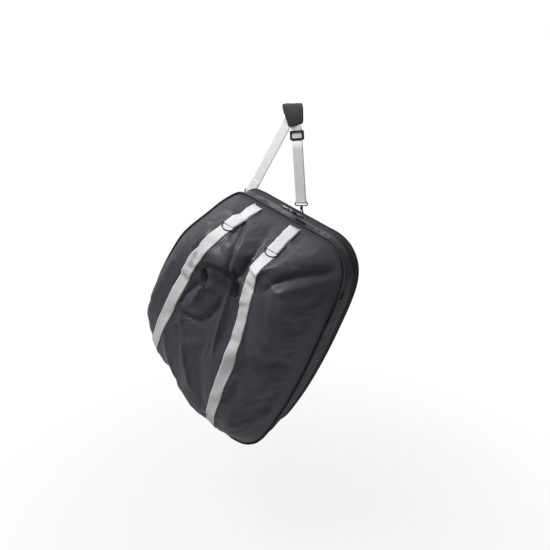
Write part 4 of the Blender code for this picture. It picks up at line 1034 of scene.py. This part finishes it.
def edge_rows(rows, share):
    """Line of points at a share of a strap's width, and the way out of the cloth along it."""
    at = share * STRAP_COLUMNS
    low = int(at)
    line = [row[low].lerp(row[min(low + 1, STRAP_COLUMNS)], at - low) for row in rows]
    ways = []
    for row, along in zip(rows, tangents(line, False)):
        across = row[-1] - row[0]
        ways.append(across.cross(along).normalized())
    return line, ways


def join_pieces(name, parts):
    """One piece from several meshes in place."""
    bm = bmesh.new()
    finish = parts[0].data.materials[0]
    for part in parts:
        bm.from_mesh(part.data)
        bpy.data.objects.remove(part)
    return place(name, bm, finish)


PANELS = {"front": (-1, front_skin, "lid"), "back": (1, back_skin, "back_shell")}
for strap_name, pairs in STRAP_LINES.items():
    facing, skin, body = PANELS[strap_name.split("_")[0]]
    strap, rows = strap_on_panel(strap_name + "_webbing", pairs, skin, facing)
    fit(strap, strap_name, body)
    seams = []
    for share in SEAM_SHARES:
        line, ways = edge_rows(rows, share)
        ways = [way if way.y * facing > 0 else -way for way in ways]
        points = [point + way * STITCH_LIFT for point, way in zip(line, ways)]
        seams.append(stitch_row(strap_name + "_seam", points, ways, light_thread))
    fit(join_pieces(strap_name + "_stitching", seams), None, body)

# Ring loops: a doubled length of the same webbing is folded round the straight bar of each D ring and
# sewn down over the strap with a box of stitches.
RING_WIRE = 0.0020
RING_RADIUS = 0.0240
RING_CORNER = 0.0035
LOOP_BEND = RING_WIRE + 0.0004 + WEBBING / 2
LOOP_UNDER = 2 * GAP + WEBBING * 1.5
LOOP_OVER = LOOP_UNDER + WEBBING + GAP
LOOP_LENGTH = 0.036
LOOP_BULGE = 0.0026
LOOP_BULGE_REACH = 0.008
LOOP_STEP = 0.006
RING_SEATS = {
    "front_left": ((-0.0740, -0.1359, 0.3694), (1, 0, 0), (0, -0.849, -0.529), "ring_front_left"),
    "front_right": ((0.0964, -0.1359, 0.3694), (1, 0, 0), (0, -0.849, -0.529), "ring_front_right"),
    "back_left": ((-0.1952, 0.1271, 0.3267), (0.896, 0.444, 0), (-0.0974, 0.1966, 0.9756), "back_shell"),
    "back_right": ((0.0492, 0.1277, 0.3950), (1, 0, 0), (0, -0.0295, 0.9996), "back_shell"),
}


def on_curve(curve, height):
    """Point of a plan curve at a height."""
    for first, second in zip(curve, curve[1:]):
        if (first.z - height) * (second.z - height) <= 0:
            return first.lerp(second, (height - first.z) / (second.z - first.z))
    return curve[0]


def loop_row(curve, skin, facing, height, lift):
    """Row of points across a strap at a height, lifted off the cloth."""
    middle = Vector((on_curve(curve, height).x, 0, height))
    row = cloth_row(middle, Vector((1, 0, 0)), WEBBING_WIDTH, skin, facing, lift)
    return None if row is None else flattened(row, facing)


def stitched_path(name, rows, pins, finish, facing):
    """Thread stitches along a path given by pins of row number and share of the width."""
    points, ways = [], []
    for (row_a, share_a), (row_b, share_b) in zip(pins, pins[1:]):
        for step in range(9):
            row = row_a + (row_b - row_a) * step / 8
            share = share_a + (share_b - share_a) * step / 8
            low_row = min(int(row), len(rows) - 2)
            low = min(int(share * STRAP_COLUMNS), STRAP_COLUMNS - 1)
            across = share * STRAP_COLUMNS - low
            upper = rows[low_row][low].lerp(rows[low_row][low + 1], across)
            lower = rows[low_row + 1][low].lerp(rows[low_row + 1][low + 1], across)
            way = (rows[low_row][low + 1] - rows[low_row][low]).cross(lower - upper).normalized()
            if way.y * facing < 0:
                way = -way
            points.append(upper.lerp(lower, row - low_row) + way * (WEBBING / 2 + STITCH_LIFT))
            ways.append(way)
    return stitch_row(name, points, ways, finish)


def crossed_box(first, last, edge):
    """Pins of a stitched box with a cross in it, between two rows and in from both edges."""
    far = 1 - edge
    return ((first, edge), (last, edge), (last, far), (first, far), (first, edge), (last, far), (last, edge),
            (first, far))


for ring_name, (seat, bar_way, ring_way, ring_body) in RING_SEATS.items():
    side, hand = ring_name.split("_")
    facing, skin, body = PANELS[side]
    curve = plan_curve(STRAP_LINES[side + "_strap_" + hand])
    seat, bar_way = Vector(seat), Vector(bar_way).normalized()
    normal = on_skin(skin, facing, seat.x, seat.z)[1]
    normal = (normal - bar_way * normal.dot(bar_way)).normalized()
    drop = normal.cross(bar_way)
    if drop.z * facing < 0:
        drop = -drop
    up_step = -LOOP_STEP * facing
    rows = []
    for step in range(24, 1, -1):
        height = seat.z + up_step * step
        reach = abs(height - seat.z)
        if side == "back" and reach > LOOP_LENGTH:
            continue
        lift = LOOP_OVER + LOOP_BULGE * math.exp(-((reach - LOOP_BULGE_REACH) / LOOP_BULGE_REACH) ** 2)
        inside = inside_outline(seat.x, height, EDGE_MARGIN)
        rows.append(loop_row(curve, skin, facing, height, lift) if inside else None)
    rows = [row for row in rows if row is not None]
    over_rows = len(rows)
    for step in range(13):
        turn = math.pi * step / 12
        centre = seat + normal * (LOOP_BEND * math.cos(turn)) + drop * (LOOP_BEND * math.sin(turn))
        rows.append([centre + bar_way * (WEBBING_WIDTH * (column / STRAP_COLUMNS - 0.5))
                     for column in range(STRAP_COLUMNS + 1)])
    under = [loop_row(curve, skin, facing, seat.z + up_step * step, LOOP_UNDER) for step in range(2, 7)]
    rows += [row for row in under if row is not None]
    loop_piece = webbing_piece(ring_name + "_loop_webbing", rows, WEBBING_WIDTH, WEBBING, light_webbing)
    fit(loop_piece, ring_name + "_ring_loop", body)
    box = crossed_box(max(over_rows - 6, 0), over_rows - 1.5, 0.1)
    stitching = stitched_path(ring_name + "_loop_stitching", rows, box, light_thread, facing)
    fit(stitching, None, body)

# D rings: bent steel wire with a straight bar, welded shut and black coated. Each hangs in its own
# webbing loop.
black_metal = moulded("black_coated_metal", (0.012, 0.012, 0.013), (0.034, 0.034, 0.037), 0.38, metallic=0.55,
                      scale=70.0, coat=0.2)


def ring_path(steps=36):
    """Closed path of a D ring: a straight bar along X, and an arc towards Z."""
    middle = math.sqrt((RING_RADIUS - RING_CORNER) ** 2 - RING_CORNER ** 2)
    lean = math.atan2(RING_CORNER, middle)
    path = [Vector((RING_RADIUS * math.cos(turn), 0, RING_RADIUS * math.sin(turn)))
            for turn in np.linspace(lean, math.pi - lean, steps)]
    corner = []
    for share in (0.2, 0.4, 0.6, 0.8, 1.0):
        turn = lean + (-math.pi / 2 - lean) * share
        corner.append(Vector((middle + RING_CORNER * math.cos(turn), 0, RING_CORNER * (1 + math.sin(turn)))))
    path += [Vector((-point.x, 0, point.z)) for point in corner]
    path.append(Vector((0, 0, 0)))
    path += list(reversed(corner))
    return path


for ring_name, (seat, bar_way, ring_way, ring_body) in RING_SEATS.items():
    turned = BAG @ frame_at(Vector(seat), Vector(bar_way), Vector(ring_way))
    ring = tube(ring_name + "_ring_wire", [turned @ point for point in ring_path()], RING_WIRE, black_metal,
                closed=True, sides=4)
    fit(ring, ring_name + "_ring", ring_body)

# Swivel hooks: a cast hook turns in an eye on a riveted post, and a small sprung gate closes its mouth.
# All three are black coated metal.
HOOK_WIRE = 0.0025
HOOK_BOWL = 0.0075
HOOK_REACH = 0.0280
HOOK_OPENING = 0.0070
BARREL_RADIUS = 0.0051
BARREL_LENGTH = 0.0100
POST_RADIUS = 0.0019
GATE_RADIUS = 0.0016
EYE_WIRE = 0.0021
EYE_DEPTH = 0.0110
EYE_CORNER = 0.0040
EYE_LIFT = 0.0022
SHANK_RADIUS = 0.0023
HOOKS = {
    "left": ((-0.16831, -0.01828, -0.30237), (-0.48392, 0.87415, -0.04109), (0.40864, 0.26723, 0.8727),
             (0.9127, -0.11965, -0.39073)),
    "right": ((0.05753, -0.03369, -0.32379), (0.01106, 0.99956, 0.02739), (-0.07377, -0.0265, 0.99692),
              (0.99728, -0.00196, 0.07374)),
}


def turned_part(profile, steps=20):
    """Closed turned part spun about Z from a profile of radius and height."""
    bm = bmesh.new()
    row = [bm.verts.new((radius, 0, height)) for radius, height in profile]
    edges = [bm.edges.new(pair) for pair in zip(row, row[1:])]
    bmesh.ops.spin(bm, geom=row + edges, cent=(0, 0, 0), axis=(0, 0, 1), angle=2 * math.pi, steps=steps,
                   use_merge=True)
    bmesh.ops.remove_doubles(bm, verts=bm.verts, dist=1e-6)
    bmesh.ops.recalc_face_normals(bm, faces=bm.faces)
    return bm


def standing(name, bm, turned, finish):
    """Places a part at a frame."""
    bmesh.ops.transform(bm, matrix=turned, verts=bm.verts)
    return place(name, bm, finish)


for side, (swivel, hook_x, pull, eye_x) in HOOKS.items():
    hook_frame = frame_at(Vector(swivel), Vector(hook_x), Vector(pull))
    shank = -BARREL_LENGTH - 2 * HOOK_WIRE
    bend = [(0, -BARREL_LENGTH / 2), (0, -BARREL_LENGTH - HOOK_WIRE / 2), (HOOK_BOWL * 0.6, shank),
            (HOOK_BOWL, (shank - HOOK_REACH) / 2)]
    for turn in np.linspace(0, math.pi, 9):
        bend.append((HOOK_BOWL * math.cos(turn), -HOOK_REACH - HOOK_BOWL * math.sin(turn)))
    bend.append((-HOOK_BOWL, -HOOK_REACH + HOOK_OPENING))
    bend = [Vector((x, 0, z)) for x, z in bend]
    bend = spline(bend, bend[0] + Vector((0, 0, 0.004)), bend[-1] + Vector((0, 0, 0.004)), 4)
    wire = tube("hook_wire", [hook_frame @ point for point in bend], HOOK_WIRE, black_metal, sides=4)
    barrel = standing("hook_barrel", turned_part((
        (SHANK_RADIUS, -0.0003), (BARREL_RADIUS - 0.0006, -0.0003), (BARREL_RADIUS, -0.0009),
        (BARREL_RADIUS, -0.0030), (BARREL_RADIUS - 0.0005, -0.0034), (BARREL_RADIUS - 0.0005, -0.0040),
        (BARREL_RADIUS, -0.0044), (BARREL_RADIUS, -0.0090), (BARREL_RADIUS - 0.0008, -BARREL_LENGTH),
        (SHANK_RADIUS, -BARREL_LENGTH), (SHANK_RADIUS, -0.0003))), hook_frame, black_metal)
    hook = join_pieces(side + "_hook_casting", [barrel, wire])
    fit(hook, "hook_" + side, "snap_hook_" + side)

    pin = Vector((-BARREL_RADIUS - 0.0001 - GATE_RADIUS - GAP, 0, -BARREL_LENGTH))
    tip = Vector((-HOOK_BOWL, 0, -HOOK_REACH + HOOK_OPENING + GAP))
    gate_frame = hook_frame @ frame_at(tip, Vector((0, 1, 0)).cross(pin - tip), pin - tip)
    span = (pin - tip).length
    gate = standing(side + "_gate_lever", turned_part((
        (0, 0), (GATE_RADIUS * 0.7, 0.0001), (GATE_RADIUS, 0.0006), (GATE_RADIUS * 0.8, span * 0.5),
        (GATE_RADIUS, span - 0.0006), (GATE_RADIUS * 0.7, span - 0.0001), (0, span)), 16),
        gate_frame, black_metal)
    fit(gate, "hook_gate_" + side, "gate_" + side)

    eye_frame = frame_at(Vector(swivel) + Vector(pull) * (EYE_LIFT + GAP), Vector(eye_x), Vector(pull))
    half = WEBBING_WIDTH / 2 + GAP + EYE_CORNER
    outline_eye = []
    for cx, cz, first in ((1, 1, 0.0), (-1, 1, 0.5), (-1, 0, 1.0), (1, 0, 1.5)):
        for step in range(6):
            turn = math.pi * (first + 0.1 * step)
            centre = Vector((cx * (half - EYE_CORNER), 0, EYE_CORNER + cz * (EYE_DEPTH - 2 * EYE_CORNER)))
            outline_eye.append(centre + EYE_CORNER * Vector((math.cos(turn), 0, math.sin(turn))))
    eye_wire = tube("eye_wire", [eye_frame @ point for point in outline_eye], EYE_WIRE, black_metal,
                    closed=True, sides=4)
    post = standing("eye_post", turned_part((
        (0, -0.0090), (POST_RADIUS * 0.8, -0.0090), (POST_RADIUS, -0.0086), (POST_RADIUS, 0.0005),
        (0, 0.0005)), 16), eye_frame, black_metal)
    eye = join_pieces(side + "_eye_casting", [eye_wire, post])
    fit(eye, "hook_eye_" + side, "back_shell")

# Shoulder strap: one length of the light webbing in an arch from eye to eye. Each end is turned round
# the bar of its eye and sewn; the right end comes back up to the adjuster.
STRAP_RISE = 0.7335
ROUTE_SHARES = ((0.118, 0.3027, 0.9352), (0.143, 0.2785, 0.9809), (0.180, 0.2181, 1.0),
                (0.210, 0.1776, 0.9730), (0.2304, 0.1609, 0.9105))
GLIDE_SHARES = (0.2346, 0.1636, 0.8705)
GLIDE_LENGTH = 0.030
GLIDE_MARGIN = 0.006
RETURN_LENGTH = 0.045


def turned_end(bar, pull, across, return_length):
    """Webbing from its stitched end back to an eye's bar, round it and out on the other side."""
    face = pull.cross(across).normalized()
    bend = EYE_WIRE + 0.0001 + GAP + WEBBING / 2
    close = WEBBING / 2 + GAP
    path = [bar + pull * (return_length * share + 3 * bend * (1 - share)) - face * close
            for share in (1.0, 0.85, 0.7, 0.55, 0.4, 0.2, 0.0)]
    for step in range(13):
        turn = math.pi * step / 12
        path.append(bar - face * (bend * math.cos(turn)) - pull * (bend * math.sin(turn)))
    path.append(bar + pull * (3 * bend) + face * close)
    return path


eyes = {}
for side, (swivel, hook_x, pull, eye_x) in HOOKS.items():
    eyes[side] = (Vector(swivel) + Vector(pull) * (EYE_LIFT + GAP + EYE_DEPTH), Vector(pull), Vector(eye_x))
world_x = Vector((1, 0, 0))
left_bar, left_pull, left_across = eyes["left"]
right_bar, right_pull, right_across = eyes["right"]
route = [BAG_CENTRE + Vector(shares) * STRAP_RISE for shares in ROUTE_SHARES]
glide = BAG_CENTRE + Vector(GLIDE_SHARES) * STRAP_RISE
straight = right_pull * (GLIDE_LENGTH / 2 + GLIDE_MARGIN)
over_route = spline(route, route[0] - left_pull * (route[1] - route[0]).length, glide + straight, 14)
left_end = turned_end(left_bar, left_pull, left_across, RETURN_LENGTH)
right_end = turned_end(right_bar, right_pull, right_across,
                       (glide - right_bar).dot(right_pull) - GLIDE_LENGTH / 2 - GAP)
climb = [left_end[-1].lerp(over_route[0], share) for share in np.linspace(0.08, 0.92, 12)]
fall = [(glide - straight).lerp(right_end[-1], share) for share in np.linspace(0.08, 0.92, 10)]
strap_path = [*left_end, *climb, *over_route, glide + straight, glide - straight, *fall, *reversed(right_end)]
strap_across = [left_across] * len(left_end)
strap_across += [left_across.lerp(world_x, share) for share in np.linspace(0.08, 0.92, len(climb))]
strap_across += [world_x] * (len(over_route) + 1)
strap_across += [right_across] * (len(strap_path) - len(strap_across))


def ribbon_rows(path, acrosses, width, columns):
    """Rows of points across a ribbon along a path."""
    rows = []
    for point, along, across in zip(path, tangents(path, False), acrosses):
        side_way = (across - along * across.dot(along)).normalized()
        rows.append([point + side_way * (width * (column / columns - 0.5)) for column in range(columns + 1)])
    return rows


shoulder_rows = ribbon_rows(strap_path, strap_across, WEBBING_WIDTH, STRAP_COLUMNS)
shoulder = webbing_piece("shoulder_strap_webbing", shoulder_rows, WEBBING_WIDTH, WEBBING, light_webbing,
                         Matrix.Identity(4))
fit(shoulder, "shoulder_webbing", "back_shell")

# Shoulder pad: a foam sleeve in black mesh cloth that the webbing runs through, quilted along both edges
# and bound with narrow tape.
PAD_WIDTH = 0.066
PAD_END_WIDTH = 0.048
PAD_THICKNESS = 0.015
PAD_SLOT = 0.0054
PAD_SLOT_MARGIN = 0.0012
PAD_START_SHARE = 0.08
PAD_END_SHARE = 0.96
PAD_SIDES = 56
PAD_CHANNEL = 0.74
PAD_SQUARENESS = 0.6
SLOT_SQUARENESS = 0.15
TAPER_SHARE = 0.25

pad_mesh_cloth = woven("pad_mesh_cloth", (0.006, 0.006, 0.008), (0.022, 0.022, 0.026), 0.75,
                       (520, 520), 0.0006, sheen=0.15, tone_scale=40.0)
black_webbing = woven("black_webbing_cloth", (0.004, 0.004, 0.005), (0.014, 0.014, 0.016), 0.65, (420, 520),
                      0.0005, sheen=0.04, tone_scale=30.0)


def rounded(turn, squareness):
    """Point of a unit circle, pushed towards a square for a squareness below one."""
    return [math.copysign(abs(value) ** squareness, value) for value in (math.cos(turn), math.sin(turn))]


def ring_grid(around, along, at):
    """Closed tube of cloth, both ways round, placed by a function of turn number and station number."""
    bm = cloth_grid(around, along, at)
    bmesh.ops.remove_doubles(bm, verts=bm.verts, dist=1e-6)
    bmesh.ops.recalc_face_normals(bm, faces=bm.faces)
    return bm


pad_route = [*over_route, glide + straight]
pad_first = round(PAD_START_SHARE * len(pad_route))
pad_last = round(PAD_END_SHARE * len(pad_route))
pad_frames = []
for point, along in list(zip(pad_route, tangents(pad_route, False)))[pad_first:pad_last]:
    side_way = (world_x - along * world_x.dot(along)).normalized()
    pad_frames.append((point, side_way, along.cross(side_way)))
pad_stations = len(pad_frames) - 1
pad_lengths = lengths_of([station[0] for station in pad_frames])


def pad_size(station):
    """Width and thickness of the pad at a station, drawn in at both ends."""
    taper = math.sqrt(min(min(station, pad_stations - station) / pad_stations / TAPER_SHARE, 1.0))
    return (PAD_END_WIDTH + (PAD_WIDTH - PAD_END_WIDTH) * taper, PAD_THICKNESS * (0.6 + 0.4 * taper))


def pad_point(turn, station):
    """Point of the pad: outside first, then back through the tunnel."""
    angle = 2 * math.pi * turn / PAD_SIDES
    outside = station <= pad_stations
    at_station = station if outside else 2 * pad_stations + 1 - station
    if station > 2 * pad_stations + 1:
        at_station, outside = 0, True
    point, side_way, face = pad_frames[at_station]
    if outside:
        across, up = rounded(angle, PAD_SQUARENESS)
        width, thick = pad_size(at_station)
        pinch = math.exp(-((abs(across) - PAD_CHANNEL) / 0.07) ** 2)
        puff = 0.0005 * noise.noise(Vector((pad_lengths[at_station] / 0.012, across * 2.5, up)))
        up = up * (1 - 0.30 * pinch)
        co = point + side_way * (across * width / 2) + face * (up * (thick / 2 + puff))
        return co, (across * width / 2, pad_lengths[at_station])
    across, up = rounded(angle, SLOT_SQUARENESS)
    half = WEBBING_WIDTH / 2 + PAD_SLOT_MARGIN
    co = point + side_way * (across * half) + face * (up * PAD_SLOT / 2)
    return co, (across * half, pad_lengths[at_station])


pad = place("shoulder_pad_sleeve", ring_grid(PAD_SIDES, 2 * pad_stations + 2, pad_point), pad_mesh_cloth)
fit(pad, "shoulder_pad", "back_shell")

# Adjuster, zip sliders and pulls: die-cast metal, black coated. Their shapes are the solid model's own,
# with softened edges.
for node, body in (("tri_glide", "adjuster"), ("zip_slider_left", "slider_left"),
                   ("zip_slider_right", "slider_right"), ("zip_pull_left", "pull_left"),
                   ("zip_pull_right", "pull_right")):
    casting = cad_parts[node]
    casting.data.materials.clear()
    casting.data.materials.append(black_metal)
    rounding = casting.modifiers.new("rounding", "BEVEL")
    rounding.width = 0.0006
    rounding.segments = 2
    rounding.limit_method = "ANGLE"

# Grab handle: black webbing, sewn flat to the front cloth at both ends with a crossed box of stitches
# and folded over in the middle for a grip.
HANDLE_WIDTH = 0.028
HANDLE_THICKNESS = 0.0024
GRIP_WIDTH = 0.024
GRIP_THICKNESS = 0.010
GRIP_STAND_OFF = 0.042
GRIP_SIDES = 32
ANCHOR_LENGTH = 0.042
ANCHOR_THICKNESS = 0.0018
ANCHOR_LIFT = GAP + 0.0012
HANDLE_SHARES = {"left": (-0.22, 0.485), "right": (0.135, 0.555)}
HANDLE_MIDDLE = Vector((-0.01447, -0.20187, 0.22437))
HANDLE_SPAN = 0.1201
GRIP_SHARES = (
    (0.0, 0.0, 0.0), (0.0, 0.35, 0.22), (0.06, 0.75, 0.5), (0.22, 1.08, 0.78), (0.5, 1.2, 0.86),
    (0.78, 1.08, 0.78), (0.94, 0.75, 0.5), (1.0, 0.35, 0.22), (1.0, 0.0, 0.0))

handle_across = (in_plan(HANDLE_SHARES["right"]) - in_plan(HANDLE_SHARES["left"])).normalized()
handle_up = Vector((-handle_across.z, 0, handle_across.x))
for side, shares in HANDLE_SHARES.items():
    fold = in_plan(shares)
    rows = [cloth_row(fold - handle_up * (ANCHOR_LENGTH * step / 9), handle_across, HANDLE_WIDTH,
                      front_skin, -1, ANCHOR_LIFT) for step in range(10)]
    anchor = webbing_piece("handle_anchor_" + side, rows, HANDLE_WIDTH, ANCHOR_THICKNESS, black_webbing)
    fit(anchor, "handle_end_" + side, "lid")
    stitching = stitched_path("handle_stitching_" + side, rows, crossed_box(1, 8, 0.12), dark_thread, -1)
    fit(stitching, None, "lid")

grip_out = Vector((0, -1, 0))
grip_start = HANDLE_MIDDLE - handle_across * (HANDLE_SPAN / 2)
grip_pins = [grip_start + handle_across * (HANDLE_SPAN * along) + handle_up * (GRIP_STAND_OFF * rise)
             + grip_out * (GRIP_STAND_OFF * out) for along, rise, out in GRIP_SHARES]
grip_route = spline(grip_pins, grip_pins[0] - handle_up * GRIP_STAND_OFF,
                    grip_pins[-1] - handle_up * GRIP_STAND_OFF, 9)
grip_lengths = lengths_of(grip_route)
grip_frames = []
for point, along in zip(grip_route, tangents(grip_route, False)):
    face = (grip_out - along * grip_out.dot(along)).normalized()
    grip_frames.append((point, along.cross(face), face))
grip_last = len(grip_frames) - 1


def grip_point(turn, station):
    """Point of the handle: flat webbing at its feet, a rounded folded grip in the middle."""
    point, side_way, face = grip_frames[station]
    share = ease(min(min(station, grip_last - station) / grip_last / TAPER_SHARE, 1.0))
    across, up = rounded(2 * math.pi * (turn + 0.5) / GRIP_SIDES, PAD_SQUARENESS)
    width = HANDLE_WIDTH + (GRIP_WIDTH - HANDLE_WIDTH) * share
    thick = HANDLE_THICKNESS + (GRIP_THICKNESS - HANDLE_THICKNESS) * share
    crush = 0.0007 * share * noise.noise(Vector((grip_lengths[station] / 0.010, across * 2, up + 4)))
    groove = 0.0009 * share * math.exp(-((across - 0.55) / 0.06) ** 2) * (1 if up < 0 else 0)
    co = point + side_way * (across * width / 2) + face * (up * (thick / 2 + crush - groove))
    return co, (across * width / 2, grip_lengths[station])


grip_bm = ring_grid(GRIP_SIDES, grip_last, grip_point)
bmesh.ops.holes_fill(grip_bm, edges=[edge for edge in grip_bm.edges if edge.is_boundary], sides=0)
bmesh.ops.recalc_face_normals(grip_bm, faces=grip_bm.faces)
grip = standing("handle_grip_webbing", grip_bm, BAG, black_webbing)
fit(grip, "handle_grip", "grab_handle")

# Tabs: short black webbing folded double and sewn into the seams. One stands up from the top seam, and
# a bare label sits in the right seam.
def folded_tab(name, turned, width, height, thickness, finish, node):
    """Short webbing folded double, with its fold outwards."""
    ply = thickness * 0.44
    bend = thickness / 2 - ply / 2
    path = [Vector((0, -bend, height * share)) for share in (0.0, 0.25, 0.5, 0.75)]
    top = height - ply / 2 - bend
    for step in range(9):
        turn = math.pi * step / 8
        path.append(Vector((0, -bend * math.cos(turn), top + bend * math.sin(turn))))
    path += [Vector((0, bend, height * share)) for share in (0.75, 0.5, 0.25, 0.0)]
    rows = ribbon_rows(path, [world_x] * len(path), width, 6)
    fit(webbing_piece(name, rows, width, ply, finish, turned), node, "lid")


TOP_TAB_PLACE = (0.08515, 0.0152, 0.4275)
LABEL_PLACE = Vector((0.2758, -0.1867, -0.5641))
LABEL_ALONG = Vector((0.1455, 0.4264, 0.8927))
LABEL_OUT = Vector((0.987, 0, -0.1609))
folded_tab("top_tab_webbing", BAG @ Matrix.Translation(TOP_TAB_PLACE), WEBBING_WIDTH, 0.0138, 0.0024,
           black_webbing, "front_tab")
folded_tab("side_label", frame_at(LABEL_PLACE, LABEL_ALONG, LABEL_OUT), 0.028, 0.012, 0.0016,
           black_webbing, "label_tab")

# Topstitching: dark thread runs beside the piping and beside the zip tape all the way round, and holds
# the layers of the seams flat.
for stitch_name, depth_at, body in (
        ("front_seam_stitching", lambda i: front_seam(i) + 0.008, "lid"),
        ("front_zip_stitching", lambda i: ZIP_LINE - ZIP_HALF - 0.0025, "lid"),
        ("back_zip_stitching", lambda i: ZIP_LINE + ZIP_HALF + 0.0025, "back_shell")):
    indices = range(2, HINGE_FIRST * FINE - 1, 2)
    points = [on_outline(i, 0.0006, depth_at(i)) for i in indices]
    ways = [OUTWARD[i] for i in indices]
    fit(stitch_row(stitch_name, points, ways, dark_thread), None, body)
